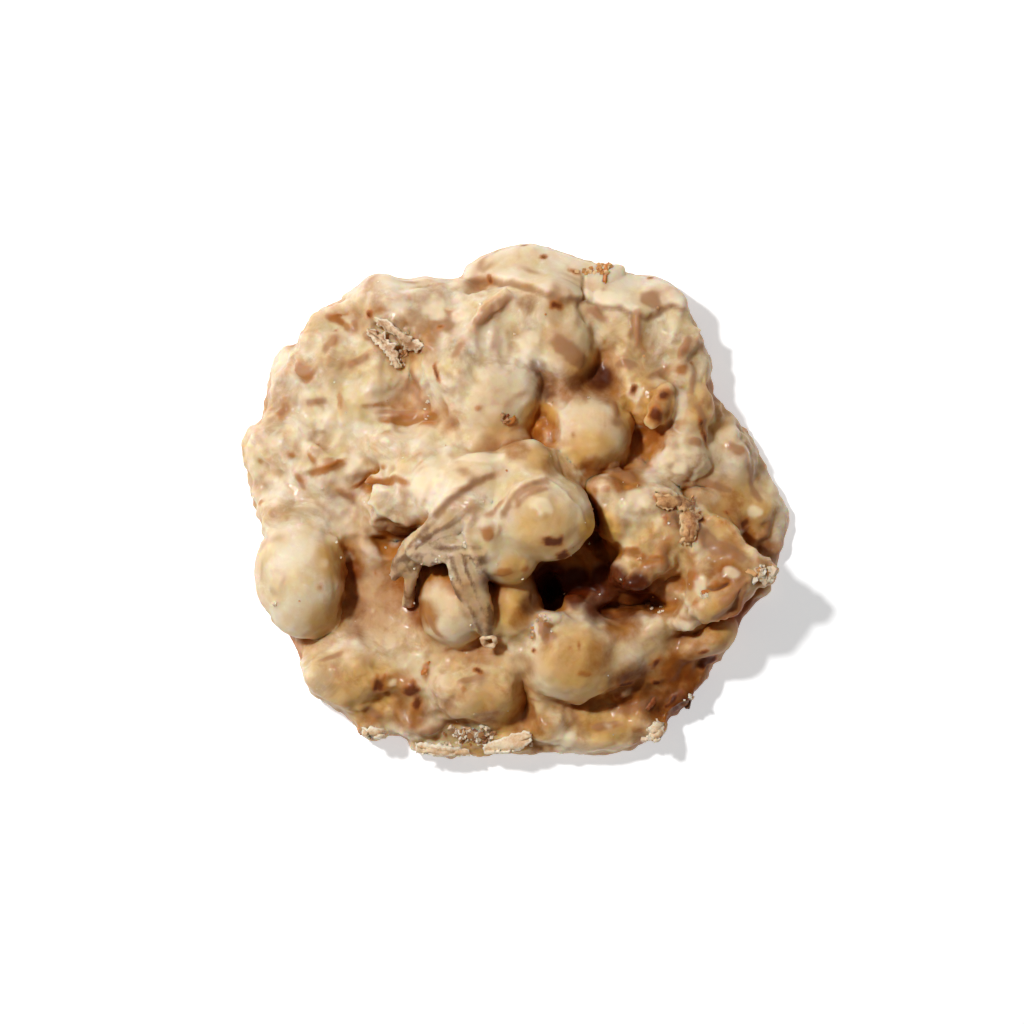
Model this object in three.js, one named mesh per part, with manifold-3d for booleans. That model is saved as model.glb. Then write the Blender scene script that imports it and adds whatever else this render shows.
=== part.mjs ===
// A macadamia praline: whole nuts and toasted flakes held in a patty of blond chocolate.
// Millimetres, +Z up. The patty lies on z = 0, with the middle of its footprint at the origin.
import * as THREE from "three";
import { ImprovedNoise } from "three/addons/math/ImprovedNoise.js";
import { mergeVertices } from "three/addons/utils/BufferGeometryUtils.js";
import Module from "manifold-3d";

const wasm = await Module();
wasm.setup();
const noise = new ImprovedNoise();

// Driving dimensions
const WIDTH = 92.4; // overall, along X
const DEPTH = 87.4; // overall, along Y
const PLATEAU = 8.8; // the chocolate's height between its lumps
const SHOULDER = 11; // how far in from the rim the plateau is reached
const SEAT_GAP = 0.3; // clearance round a nut or a curl in its seat
const RINGS = 23; // rings of triangles from the middle of the patty to its rim
const NUT_DETAIL = 3; // subdivisions of a nut's icosahedron
const LOBE_DETAIL = 2; // and of a lump of its coat

// Colours of the coated chocolate, the coat over a nut and the coat over the curled flake
const CHOCOLATE = 0xd8b98a;
const COATED_NUT = 0xe6cfa2;
const COATED_CURL = 0xc9b08c;

// The rim in plan, clockwise from the left: x, y and the height of the edge there.
const RIM = [
  [-46.2, 7.8, 5], [-45.4, 11, 5], [-43.9, 12.4, 5], [-41.7, 20.2, 6], [-40.3, 24.4, 6],
  [-37.7, 26.7, 6], [-34.5, 32.1, 6.5], [-30.9, 34.6, 7], [-26.9, 36.9, 7], [-25.3, 38.7, 7.5],
  [-22.4, 39.1, 7.5], [-19.2, 37.7, 7], [-16.5, 38.4, 7], [-9.4, 37.9, 6.5], [-8.8, 39.2, 5],
  [-0.7, 43, 5], [3.2, 43.7, 5], [11.6, 40.8, 5.5], [14.8, 39.9, 6], [19.4, 38.4, 6],
  [24, 37.8, 6.5], [27.2, 35.7, 7], [29.2, 33.5, 7.5], [30.6, 29.4, 8], [31.3, 26.1, 8],
  [33.2, 24.1, 8.5], [33.5, 17.8, 8], [35, 15.3, 6], [39.4, 12, 3], [41.1, 9, 2.5],
  [45.7, -0.2, 2.2], [46.2, -2.9, 2.4], [44.7, -12.1, 2.8], [42.2, -15.8, 3.4], [37.1, -23, 5],
  [34.9, -27.2, 6.4], [30.8, -32.7, 6.4], [29.9, -35.4, 6], [27.2, -36.2, 6], [24.5, -39.5, 5.6],
  [21.4, -42.2, 5], [7.8, -43.2, 5.4], [0.7, -43, 5], [-8.7, -43.7, 4.6], [-15.6, -43, 4.6],
  [-17.3, -42.2, 4.6], [-17.9, -40.7, 5], [-20.4, -39.8, 6], [-24.5, -40.3, 6.6], [-26.5, -39.1, 6.6],
  [-29.1, -36.2, 6], [-34, -33.9, 5.5], [-36.2, -30.8, 5.5], [-37.7, -26.2, 5], [-39.6, -22.6, 4.5],
  [-41.3, -18.9, 4], [-43.2, -12.6, 5], [-42.8, -7.5, 5.5], [-44.4, -2.2, 5], [-45.6, 2.7, 5],
];

// Lumps of coated bits, as ellipsoid caps: x, y, half sizes, turn in degrees and the height of the top.
const LUMPS = [
  // nuts that lie wholly under the chocolate
  [-38.4, -2.4, 5.8, 4.2, 0, 10.6], [-30.8, -30.5, 8.6, 7, 20, 12.6], [-6.1, -31.8, 8.6, 6, -8, 14],
  // the left and the back left
  [-13.8, 30.7, 9, 6, 0, 12.6], [-22.3, 33.6, 6, 5, 0, 11.4], [-27, 20.8, 9, 8, 0, 11.8],
  [-35, 25.6, 6, 5, 40, 10], [-39, 10.3, 6, 7, 0, 9.4], [-30.8, 5.6, 6.4, 5, 0, 11.2],
  [-20.9, -1.4, 5.6, 4.6, 0, 16], [-17.6, 9.4, 9, 5, 8, 14.6], [-25.5, 12.5, 6, 4, 0, 11.6],
  [-11.6, 23.6, 6, 7, 0, 15.4],
  // the back right
  [-3.6, 31, 9, 5, 35, 14.2], [4.4, 33, 8, 4, -10, 11.6], [17.7, 28.2, 9, 7, 0, 11],
  [27, 28.2, 5.5, 8, 0, 10], [29.6, 17.1, 4.4, 8, 0, 11], [18.5, 19.7, 5, 4, 0, 13],
  [23.8, 16.3, 3.4, 5.4, -20, 13.4],
  // the right
  [27.5, 7.4, 6, 5, -20, 12.6], [36, 7.6, 6, 5, -40, 8.6], [40.8, -1.8, 4.6, 4.4, 0, 7.4],
  [16.4, 1.2, 4.6, 5, 0, 15.4], [21.6, -0.2, 4.8, 5.2, 20, 16.4], [20.8, -11.2, 5.6, 5, 30, 16.2],
  [24.8, -5.4, 6.6, 6.4, 10, 16.6], [29.8, -3.6, 4, 5.4, 38, 15.8], [7.6, 5.6, 5, 3.6, -30, 15],
  [18, -4.8, 3.4, 4.2, 0, 15.4],
  // under the crisp chunk at the right
  [32.6, -11.6, 8.4, 7, 36, 15.6], [29.2, -18, 4.4, 4.6, 20, 14.4], [23.4, -21.4, 4, 4, -20, 11.8],
  // the front
  [18.5, -24.8, 5.6, 6.4, 0, 12.8], [24.5, -26, 4, 4.4, 0, 10], [19.6, -37.6, 5, 3, 20, 7.4],
  [12.6, -40.2, 6, 3, 0, 7.4], [-18, -30.5, 4.4, 3, 0, 10], [4.9, -37.3, 5, 4, 0, 8.4],
  [-16.6, -36.4, 6, 4, 0, 8.8],
];

// Hollows between the lumps, the same way, with the height of the bottom.
const HOLLOWS = [
  [5.6, -16.6, 3.2, 3.4, 0, 1.6], [10.6, -13, 4.6, 3.2, 10, 6], [14.2, -6.6, 1.6, 2.6, 10, 5.4],
  [-21.4, -16.9, 10, 8, 0, 6], [-28.4, -14.3, 4, 8, 0, 4.8], [14.6, 22.6, 4, 6, -30, 7.4],
  [18.6, -17.6, 7.6, 2, 10, 4.6], [26.4, -15.4, 2.8, 4.4, -24, 8.6], [4.9, 17.1, 2.6, 4, 0, 9.6],
  [1.6, -33.8, 2.4, 5, 0, 4.4],
  [13.6, -34.7, 8, 3, 0, 5], [22.6, -33, 5, 4, 30, 5.4], [-21, -6.8, 5.4, 2.6, -16, 5.6],
  [38.8, -5.6, 3.4, 3, 0, 4.2],
  [21.4, 9.8, 3, 5, 0, 7.6], [31, 2.6, 2.6, 2.4, 0, 7],
];

// The pale plate along the back: the line of its broken inner edge, and its step over the chocolate.
const PLATE_EDGE = [
  [-9, 37.6], [-2.7, 37.4], [2.4, 35.6], [7.8, 34.3], [13, 34.3], [16.8, 32.8], [21, 31.2], [29.2, 32],
];
const PLATE_STEP = 0.9;

// Whole nuts that stand out of the chocolate: the centre, half sizes, turn in degrees, and the height that
// the chocolate climbs up the nut's back left, as a share of its half height over its centre.
const NUTS = {
  nut_left: [-36.7, -12.8, 8.6, 7.2, 9.6, 7.3, 10, 0.4],
  nut_back_left: [-4.2, 18, 9.6, 8.3, 8.2, 7.4, 0, 0.82],
  nut_back: [7.4, 26.8, 8.2, 6.2, 7.6, 6.2, 12, 0.88],
  nut_back_right: [12.6, 11, 9.8, 6.7, 6.6, 6.7, 0, 0.5],
  nut_middle_left: [-12, 1.6, 12.8, 8, 7.4, 7.2, 20, 0.6],
  nut_crown: [4.2, -2.1, 17.8, 8.8, 7, 8.2, -20, 0.5],
  nut_low_left: [-9.4, -17.2, 10, 6.4, 7.2, 6.9, -25, 0.3],
  nut_low_right: [-0.9, -17.6, 9.2, 5.4, 7, 6.4, 10, 0.3],
  nut_front: [9.2, -26.2, 9.4, 8.8, 7.4, 6.8, 8, 0.6],
};
// Lumps of the coat of the highest nut: the bridge to its neighbour, the lobe that hangs over at the left,
// the one below it and the one at its back.
const CROWN_LOBES = [
  [-7.8, 2, 17.2, 8.4, 5.4, 4.8, 20], [-5, -5.2, 17.8, 3.8, 6, 5, -6], [-2, -9.6, 16.4, 5.2, 4, 4.4, -14],
  [0.8, 4.4, 16.2, 6, 5, 5, 30],
];

// The chocolate drawn up over a nut: how far its crest is shifted and how much wider it is than the nut.
const DRAPE_SHIFT = [-2.2, 1.8];
const DRAPE_WIDER = 1.8;

// Bare or thinly coated flakes: x, y, length, width, turn, dip of the far end and how far it stands proud.
const FLAKES = [
  // two frayed wafer strips, then the strips near them at the back left
  [-19.7, 28.3, 9.6, 2, -35, 0, 1.2], [-22.3, 25.8, 9.2, 2.4, -48, 0, 1],
  [-4.5, 32.2, 9.4, 3, 41, 0, 0.8], [-30.2, 30.8, 6.6, 2, -25, 0, 0.6],
  [-32.6, 26.4, 6.6, 2.4, 42, 0, 0.5], [-29.6, 16, 6.4, 2, -76, 0, 0.7],
  [-35.6, 22, 5, 3.6, -20, 0, 0.8], [-18, 14.6, 13, 2.2, 4, 0, 0.7],
  [-32.6, 7, 6.4, 3, -50, 0, 0.9], [-22, 3.4, 6.6, 3, -8, 0, 1],
  // the back right
  [20.6, 28.4, 7.4, 2, 88, 0, 0.6], [28.8, 25.4, 9, 2.4, 62, 0, 0.6],
  [23.6, 15.6, 7.6, 3, 66, 0, 1], [31.2, 12.6, 10, 2.4, 80, 0, 0.6],
  [15.2, 38.2, 6.4, 1.8, 24, 0, 1], [23, 33.4, 5.4, 4.2, 80, 0, 0.6],
  // the ridge at the right
  [24.6, 0.8, 6.4, 3.4, -14, 0, 1], [29.4, -4.6, 8, 3, -78, 0, 0.8], [22, -12.4, 8, 2.8, 38, 0, 0.9],
  // the front edge
  [23.8, -39, 4.6, 3, 60, 0, 0.9], [-13, -41.8, 9.4, 3, -4, 0, 1], [0.4, -41, 7.4, 3.2, 24, 0, 1.2],
  [-7.4, -39.2, 8.4, 3, 4, 0, 0.6], [-24.8, -38.8, 5, 3, -14, 0, 1],
  [-21.6, -30.4, 4.4, 3, 60, 0, 0.8], [27.4, -33.6, 6, 2.4, 50, 0, 0.7],
];
const FLAKE_THICK = 1.6;
const FLAKE_BEND = 0.03; // fall of a flake's ends, by the square of the distance along it

// Broken wafer that stands out of the chocolate: x, y, z, length, width, thickness, turn, roll and dip.
const SLABS = [
  [34.2, -13, 15.6, 14.4, 11.6, 4.2, 40, -22, 0], // the chunk, raised along its front edge
  [35.2, -6.6, 12, 13, 5, 5, -40, 0, 8], // the ridge behind it
  [41.2, -12.2, 15.8, 5.4, 4.2, 2.6, 35, 0, 0], // its frayed tip
  [-20.4, -0.8, 15.2, 9.4, 6.4, 3, -24, 14, 6], // the pale flake left of the middle
];

// The forked curl: straps of thick skin, each as x, y, z, half width.
const CURL_FLATNESS = 0.42; // a strap's thickness over its width
const CURL_STRAPS = [
  // out of the fold between the two highest nuts, down to the claw at the left
  [[-5.8, 2, 21.2, 1.8], [-8, -0.2, 21.6, 2.6], [-10.3, -2.4, 21.1, 2.8], [-12.9, -4.5, 19.9, 2.6],
    [-15.4, -6.4, 18.4, 2.3], [-17.5, -8.3, 16.4, 2], [-19.3, -10.5, 14.2, 1.4], [-20.8, -13.2, 12.2, 0.8]],
  // the web under the hole, from the lobe of the highest nut to the claw
  [[-5.8, -8.2, 21.4, 1.6], [-9, -8.3, 20.4, 2.2], [-12, -8.2, 19, 2.1], [-15, -8.1, 17.6, 2.1],
    [-17.4, -8.5, 16.2, 1.8]],
  // the broad band down the front, to its open end
  [[-9.4, -8.4, 20.2, 2.4], [-8.6, -11.8, 19.5, 2.9], [-7.2, -14.9, 18.6, 2.5], [-6, -17.8, 17.5, 2.2],
    [-5.1, -20.5, 15.9, 1.7], [-4.4, -23.2, 14, 1.5]],
  // the run of coat that hangs from the web behind the claw and ends in a drop
  [[-16.4, -9.6, 15.8, 1.4], [-17.7, -12.6, 13.2, 1.2], [-18, -15.4, 10.4, 1], [-18.5, -17.9, 8, 1.3]],
];
const CURL_STEP = 2.6; // a ring of each strap's points every so far
const CURL_HUB = [-13.6, -7.6, 18, 4.8, 2.8, 1.3, 8]; // the flat web where the straps meet

// A smooth maximum of two heights, which rounds the valley between them over the given width.
function smoothMax(a, b, width) {
  const near = Math.max(width - Math.abs(a - b), 0) / width;
  return Math.max(a, b) + near * near * width * 0.25;
}

function smoothMin(a, b, width) {
  return -smoothMax(-a, -b, width);
}

// The rim as a closed curve in plan, whose z is the height of the edge, fitted to the overall size.
function rimPoints(count) {
  const curve = new THREE.CatmullRomCurve3(RIM.map((p) => new THREE.Vector3(...p)), true, "centripetal");
  const points = curve.getSpacedPoints(count).slice(0, count);
  const box = new THREE.Box3().setFromPoints(points);
  const size = box.getSize(new THREE.Vector3());
  const middle = box.getCenter(new THREE.Vector3());
  for (const p of points) {
    p.x = (p.x - middle.x) * (WIDTH / size.x);
    p.y = (p.y - middle.y) * (DEPTH / size.y);
  }
  return points;
}

const RIM_COUNT = 6 * RINGS;
const rim = rimPoints(RIM_COUNT);

// How far (x, y) lies inside the rim, and the height of the nearest stretch of edge.
function nearestRim(x, y) {
  let best = { distance: Infinity, height: 0 };
  for (const p of rim) {
    const distance = Math.hypot(p.x - x, p.y - y);
    if (distance < best.distance) best = { distance, height: p.z };
  }
  return best;
}

// Where (x, y) lies in a turned ellipse: 0 at its centre, 1 on its edge.
function ellipseShare(x, y, [cx, cy, halfX, halfY, turn]) {
  const angle = THREE.MathUtils.degToRad(turn);
  const along = (x - cx) * Math.cos(angle) + (y - cy) * Math.sin(angle);
  const across = (y - cy) * Math.cos(angle) - (x - cx) * Math.sin(angle);
  return Math.hypot(along / halfX, across / halfY);
}

// Crags of the coated bits, at two scales.
function crags(x, y, z = 0) {
  return 0.8 * noise.noise(x / 6, y / 6, z / 6 + 3.7) + 0.6 * noise.noise(x / 3.4, y / 3.4, z / 3.4 + 9.1);
}

// How far (x, y) lies behind the broken edge of the plate, negative in front of it.
function behindPlateEdge(x, y) {
  const next = PLATE_EDGE.findIndex((p) => p[0] > x);
  if (next < 1) return -Infinity;
  const [[x0, y0], [x1, y1]] = [PLATE_EDGE[next - 1], PLATE_EDGE[next]];
  return y - THREE.MathUtils.mapLinear(x, x0, x1, y0, y1);
}

function addLump(height, x, y, lump) {
  const share = ellipseShare(x, y, lump);
  if (share >= 1) return height;
  const foot = height - 1;
  return smoothMax(height, foot + (lump[5] - foot) * Math.sqrt(1 - share * share), 1.4);
}

// The height of the chocolate's top at (x, y).
function topHeight(x, y) {
  const edge = nearestRim(x, y);
  const rise = THREE.MathUtils.smoothstep(edge.distance, 0, SHOULDER);
  let height = edge.height + (PLATEAU - edge.height) * rise;
  for (const lump of LUMPS) height = addLump(height, x, y, lump);
  for (const [nx, ny, nz, halfX, halfY, halfZ, turn, climb] of Object.values(NUTS)) {
    const crest = Math.min(nz + climb * halfZ, PLATEAU + halfZ);
    const place = [nx + DRAPE_SHIFT[0], ny + DRAPE_SHIFT[1], halfX + DRAPE_WIDER, halfY + DRAPE_WIDER];
    height = addLump(height, x, y, [...place, turn, crest]);
  }
  for (const hollow of HOLLOWS) {
    const share = ellipseShare(x, y, hollow);
    if (share < 1.4) {
      height = smoothMin(height, hollow[5] + (height - hollow[5]) * Math.pow(share, 2.4), 1.2);
    }
  }
  height += PLATE_STEP * THREE.MathUtils.smoothstep(behindPlateEdge(x, y), -0.4, 0.4);
  return Math.max(height + crags(x, y), 1.2);
}

// Closed geometry from points and triangles.
function indexed(points, triangles) {
  const geometry = new THREE.BufferGeometry();
  geometry.setAttribute("position", new THREE.Float32BufferAttribute(points.flat(), 3));
  geometry.setIndex(triangles.flat());
  return geometry;
}

// The patty: rings of triangles out to the rim, folded down over its side, and closed by a flat underside.
function pattyGeometry() {
  const points = [[0, 0, topHeight(0, 0)]];
  const triangles = [];
  const first = (ring) => (ring === 0 ? 0 : 1 + 3 * ring * (ring - 1));
  const lip = 0.984; // the top ring's share of the rim's reach
  for (let ring = 1; ring <= RINGS; ring++) {
    for (let i = 0; i < 6 * ring; i++) {
      const edge = rim[Math.round((i * RINGS) / ring) % RIM_COUNT];
      const share = (ring / RINGS) * lip;
      points.push([edge.x * share, edge.y * share, topHeight(edge.x * share, edge.y * share)]);
    }
    const inner = (i) => first(ring - 1) + (ring === 1 ? 0 : i % (6 * (ring - 1)));
    const outer = (i) => first(ring) + (i % (6 * ring));
    for (let side = 0; side < 6; side++) {
      for (let step = 0; step < ring; step++) {
        const o = side * ring + step;
        const n = side * (ring - 1) + step;
        triangles.push([inner(n), outer(o + 1), outer(o)]);
        if (step < ring - 1) triangles.push([inner(n), inner(n + 1), outer(o + 1)]);
      }
    }
  }
  // the side bulges out to the rim a third of the way up, and rests on a floor ring just inside it
  let above = first(RINGS);
  for (const [share, height] of [[1, 0.36], [0.992, 0]]) {
    const below = points.length;
    for (let i = 0; i < RIM_COUNT; i++) {
      const edge = rim[i];
      points.push([edge.x * share, edge.y * share, edge.z * height]);
      const next = (i + 1) % RIM_COUNT;
      triangles.push([above + i, above + next, below + i], [above + next, below + next, below + i]);
    }
    above = below;
  }
  const middle = points.push([0, 0, 0]) - 1;
  for (let i = 0; i < RIM_COUNT; i++) triangles.push([middle, above + i, above + ((i + 1) % RIM_COUNT)]);
  return indexed(points, triangles);
}

// A nut in its coat: a ball drawn out a little at one end, with the coat's ripples, grown by a clearance.
function nutGeometry([x, y, z, halfX, halfY, halfZ, turn], growth = 0, detail = NUT_DETAIL) {
  const geometry = new THREE.IcosahedronGeometry(1, detail);
  const position = geometry.getAttribute("position");
  const p = new THREE.Vector3();
  for (let i = 0; i < position.count; i++) {
    p.fromBufferAttribute(position, i);
    const ripple = 1 + 0.09 * noise.noise(p.x * 1.6 + x, p.y * 1.6 + y, p.z * 1.6 + z);
    const point = 1 + 0.07 * Math.pow(Math.max(-p.y, 0), 4);
    p.multiplyScalar(ripple * point);
    position.setXYZ(i, p.x, p.y, p.z);
  }
  geometry.scale(halfX + growth, halfY + growth, halfZ + growth);
  geometry.rotateZ(THREE.MathUtils.degToRad(turn));
  geometry.translate(x, y, z);
  return geometry;
}

// A bent plate with uneven edges and thinner ends, rolled about its length, dipped, turned and placed.
function plateGeometry(length, width, thick, roll, dip, turn, place) {
  const geometry = new THREE.BoxGeometry(length, width, thick, 3, 1, 1);
  const position = geometry.getAttribute("position");
  for (let i = 0; i < position.count; i++) {
    const along = position.getX(i);
    const narrowing = 1 - 0.35 * Math.pow((2 * along) / length, 2);
    const fray = 1 + 0.5 * noise.noise(along + place[0], place[1], Math.sign(position.getY(i)) * 2.3);
    const side = position.getZ(i) > 0 ? 0.84 : 1; // the top face is a little narrower than the foot
    position.setY(i, position.getY(i) * fray * narrowing * side);
    position.setZ(i, position.getZ(i) * narrowing - FLAKE_BEND * along * along);
  }
  geometry.rotateX(THREE.MathUtils.degToRad(roll));
  geometry.rotateY(THREE.MathUtils.degToRad(dip));
  geometry.rotateZ(THREE.MathUtils.degToRad(turn));
  geometry.translate(...place);
  return geometry;
}

// A flake half sunk in the top of the chocolate.
function flakeGeometry([x, y, length, width, turn, dip, proud]) {
  const z = topHeight(x, y) + proud - FLAKE_THICK / 2;
  return plateGeometry(length, width, FLAKE_THICK, 0, dip, turn, [x, y, z]);
}

function slabGeometry([x, y, z, length, width, thick, turn, roll, dip]) {
  return plateGeometry(length, width, thick, roll, dip, turn, [x, y, z]);
}

// A strap of the curl: a flattened tube along a smooth line, as wide as its points say.
function strapGeometry(line, growth = 0) {
  const sides = 8;
  const places = line.map(([x, y, z]) => new THREE.Vector3(x, y, z));
  const path = new THREE.CatmullRomCurve3(places, false, "centripetal");
  const steps = Math.round(path.getLength() / CURL_STEP);
  const widths = new THREE.SplineCurve(line.map(([, , , half], i) => new THREE.Vector2(i, half)));
  const up = new THREE.Vector3(0, 0, 1);
  const points = [];
  const triangles = [];
  for (let step = 0; step <= steps; step++) {
    const centre = path.getPoint(step / steps);
    const ahead = path.getTangent(step / steps);
    const side = new THREE.Vector3().crossVectors(up, ahead).normalize();
    const over = new THREE.Vector3().crossVectors(ahead, side);
    const half = widths.getPoint(step / steps).y + growth;
    for (let i = 0; i < sides; i++) {
      const angle = (i / sides) * 2 * Math.PI;
      const at = [centre.x + Math.cos(angle), centre.y, centre.z / 2 + Math.sin(angle)];
      const wave = 1 + 0.16 * noise.noise(...at);
      const p = centre.clone();
      p.addScaledVector(side, half * wave * Math.cos(angle));
      p.addScaledVector(over, (half * CURL_FLATNESS + growth) * wave * Math.sin(angle));
      points.push(p.toArray());
    }
  }
  for (let step = 0; step < steps; step++) {
    for (let i = 0; i < sides; i++) {
      const a = step * sides + i;
      const b = step * sides + ((i + 1) % sides);
      triangles.push([a, b, a + sides], [b, b + sides, a + sides]);
    }
  }
  for (const [ring, end] of [[0, path.getPoint(0)], [steps, path.getPoint(1)]]) {
    const cap = points.push(end.toArray()) - 1;
    for (let i = 0; i < sides; i++) {
      const a = ring * sides + i;
      const b = ring * sides + ((i + 1) % sides);
      triangles.push(ring === 0 ? [cap, b, a] : [cap, a, b]);
    }
  }
  return indexed(points, triangles);
}

// A closed geometry as a solid to join and cut, and back.
function solidOf(geometry) {
  geometry.deleteAttribute("normal");
  geometry.deleteAttribute("uv");
  const merged = mergeVertices(geometry, 1e-3);
  const made = new wasm.Manifold(
    new wasm.Mesh({
      numProp: 3,
      vertProperties: new Float32Array(merged.attributes.position.array),
      triVerts: new Uint32Array(merged.index.array),
    }),
  );
  if (made.volume() < 0) throw new Error("a piece is inside out");
  return made;
}

function geometryOf(solid) {
  const mesh = solid.getMesh();
  const geometry = new THREE.BufferGeometry();
  geometry.setAttribute("position", new THREE.BufferAttribute(mesh.vertProperties, 3));
  geometry.setIndex(new THREE.BufferAttribute(mesh.triVerts, 1));
  geometry.computeVertexNormals();
  return geometry;
}

function joined(solids) {
  return solids.reduce((whole, piece) => whole.add(piece));
}

// The largest body of a solid, without the scraps that a cut leaves loose.
function largestBody(solid) {
  return solid.decompose().reduce((best, body) => (body.volume() > best.volume() ? body : best));
}

// The nuts, each trimmed back from the ones before it, the highest first.
function seatedNuts() {
  const made = {};
  const order = Object.entries(NUTS).sort(([, a], [, b]) => b[2] - a[2]);
  const placed = [];
  for (const [name, nut] of order) {
    const lobes = name === "nut_crown" ? CROWN_LOBES : [];
    const whole = (growth) =>
      joined([
        solidOf(nutGeometry(nut, growth)),
        ...lobes.map((lobe) => solidOf(nutGeometry(lobe, growth, LOBE_DETAIL))),
      ]);
    made[name] = largestBody(placed.reduce((solid, above) => solid.subtract(above), whole(0)));
    placed.push(whole(SEAT_GAP));
  }
  return { made, seats: joined(placed) };
}

function curlSolid(growth) {
  const straps = CURL_STRAPS.map((line) => solidOf(strapGeometry(line, growth)));
  return joined([...straps, solidOf(nutGeometry(CURL_HUB, growth, LOBE_DETAIL))]);
}

const { made: nuts, seats } = seatedNuts();
const curl = largestBody(curlSolid(0).subtract(seats));
const curlSeat = curlSolid(SEAT_GAP);
const flakes = [...FLAKES.map(flakeGeometry), ...SLABS.map(slabGeometry)].map(solidOf);
const floor = solidOf(new THREE.BoxGeometry(2 * WIDTH, 2 * DEPTH, 20).translate(0, 0, -10));
const body = largestBody(
  joined([solidOf(pattyGeometry()), ...flakes]).subtract(seats).subtract(curlSeat).subtract(floor),
);

function coated(name, solid, color, roughness) {
  const material = new THREE.MeshStandardMaterial({ color, roughness, metalness: 0 });
  const mesh = new THREE.Mesh(geometryOf(solid), material);
  mesh.name = name;
  return mesh;
}

const praline = new THREE.Group();
praline.add(coated("chocolate_body", body, CHOCOLATE, 0.42));
for (const name of Object.keys(NUTS)) praline.add(coated(name, nuts[name], COATED_NUT, 0.38));
praline.add(coated("forked_curl", curl, COATED_CURL, 0.4));

export default praline;
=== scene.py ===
# %% [markdown]
# # A macadamia praline
# Whole macadamia nuts and toasted flakes are stirred into blond chocolate and spooned out as a craggy
# patty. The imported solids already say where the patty, its nuts and the curl of coated flake are. This
# notebook gives them their skin: lumps and creases, flakes that press up from under the coat, bare wafer
# that sticks out, and the colours of all of it.

# %% Load the solids
import math
import random

import bmesh
import bpy
import numpy as np
from mathutils import Matrix, Vector, noise
from mathutils.bvhtree import BVHTree


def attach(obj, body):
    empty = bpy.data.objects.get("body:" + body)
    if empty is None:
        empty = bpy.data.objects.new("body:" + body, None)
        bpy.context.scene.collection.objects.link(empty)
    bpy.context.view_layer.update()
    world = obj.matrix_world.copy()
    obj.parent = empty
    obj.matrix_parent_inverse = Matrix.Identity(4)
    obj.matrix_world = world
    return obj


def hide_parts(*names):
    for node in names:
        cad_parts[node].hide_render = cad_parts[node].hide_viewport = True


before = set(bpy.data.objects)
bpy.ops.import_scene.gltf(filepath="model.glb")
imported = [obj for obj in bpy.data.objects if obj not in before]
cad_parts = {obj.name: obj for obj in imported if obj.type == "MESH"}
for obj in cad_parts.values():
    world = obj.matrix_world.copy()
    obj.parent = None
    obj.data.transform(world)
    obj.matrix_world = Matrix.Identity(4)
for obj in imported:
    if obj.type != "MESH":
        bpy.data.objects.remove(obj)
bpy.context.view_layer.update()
MM = 0.001
NUTS = sorted(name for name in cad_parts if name.startswith("nut_"))
print("solids", len(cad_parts), "of them nuts", len(NUTS))

# %% [markdown]
# ## The view
# The praline was photographed from straight above with a long lens. A long lens far away keeps the raised
# nut from looking larger than it is. The light is one soft lamp at the upper left, close enough that the
# lower right gets less of it, with pale fill from all around. The floor glows a little, as a lit white table
# does, so it stays white.

# %% Camera
LENS = 134.4
VIEW_HEIGHT = 656 * MM
VIEW_CENTRE = (-0.68 * MM, -1.9 * MM)

camera = bpy.data.objects.new("camera", bpy.data.cameras.new("camera"))
bpy.context.scene.collection.objects.link(camera)
camera.data.lens = LENS
camera.location = (*VIEW_CENTRE, VIEW_HEIGHT)
bpy.context.scene.camera = camera
print("camera", round(VIEW_HEIGHT / MM), "mm up")

# %% Light
LIGHT_TURN = math.atan2(0.58, -0.81)
LIGHT_RISE = math.radians(57)
LIGHT_DISTANCE = 500 * MM
LIGHT_RADIUS = 21 * MM
LIGHT_POWER = 8.7  # watts
FILL = 0.16
FILL_COLOUR = (1.0, 0.76, 0.54, 1.0)

towards_light = Vector(
    (
        math.cos(LIGHT_TURN) * math.cos(LIGHT_RISE),
        math.sin(LIGHT_TURN) * math.cos(LIGHT_RISE),
        math.sin(LIGHT_RISE),
    )
)
lamp = bpy.data.objects.new("lamp", bpy.data.lights.new("lamp", "POINT"))
bpy.context.scene.collection.objects.link(lamp)
lamp.data.energy = LIGHT_POWER
lamp.data.shadow_soft_size = LIGHT_RADIUS
lamp.location = towards_light * LIGHT_DISTANCE

world = bpy.data.worlds.new("studio")
world.use_nodes = True
sky = world.node_tree.nodes["Background"].inputs
sky["Color"].default_value = FILL_COLOUR
sky["Strength"].default_value = FILL
bpy.context.scene.world = world
bpy.context.scene.view_settings.view_transform = "Standard"
print("lamp at", [round(c / MM) for c in lamp.location], "mm")

# %% [markdown]
# ## Writing materials as sums
# A material here is a few sums over noise and over marks stored on the mesh. Node graphs get hard to read
# when every sum is five lines, so a socket is wrapped in a small class whose operators add Math nodes.

# %% Sockets with operators
class Value:
    """A number that varies over a surface: an output socket whose arithmetic adds Math nodes."""

    def __init__(self, shade, socket):
        self.shade = shade
        self.socket = socket

    def maths(self, operation, first, second):
        return self.shade.node("ShaderNodeMath", {"operation": operation}, {0: first, 1: second})

    def __add__(self, other):
        return self.maths("ADD", self, other)

    def __mul__(self, other):
        return self.maths("MULTIPLY", self, other)

    def __sub__(self, other):
        return self.maths("SUBTRACT", self, other)

    def __rsub__(self, other):
        return self.maths("SUBTRACT", other, self)

    __radd__ = __add__
    __rmul__ = __mul__

    def between(self, low, high):
        """0 below low and 1 above high, with a soft step between them."""
        settings = {"interpolation_type": "SMOOTHSTEP"}
        return self.shade.node("ShaderNodeMapRange", settings, {0: self, 1: low, 2: high, 3: 0.0, 4: 1.0})

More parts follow.
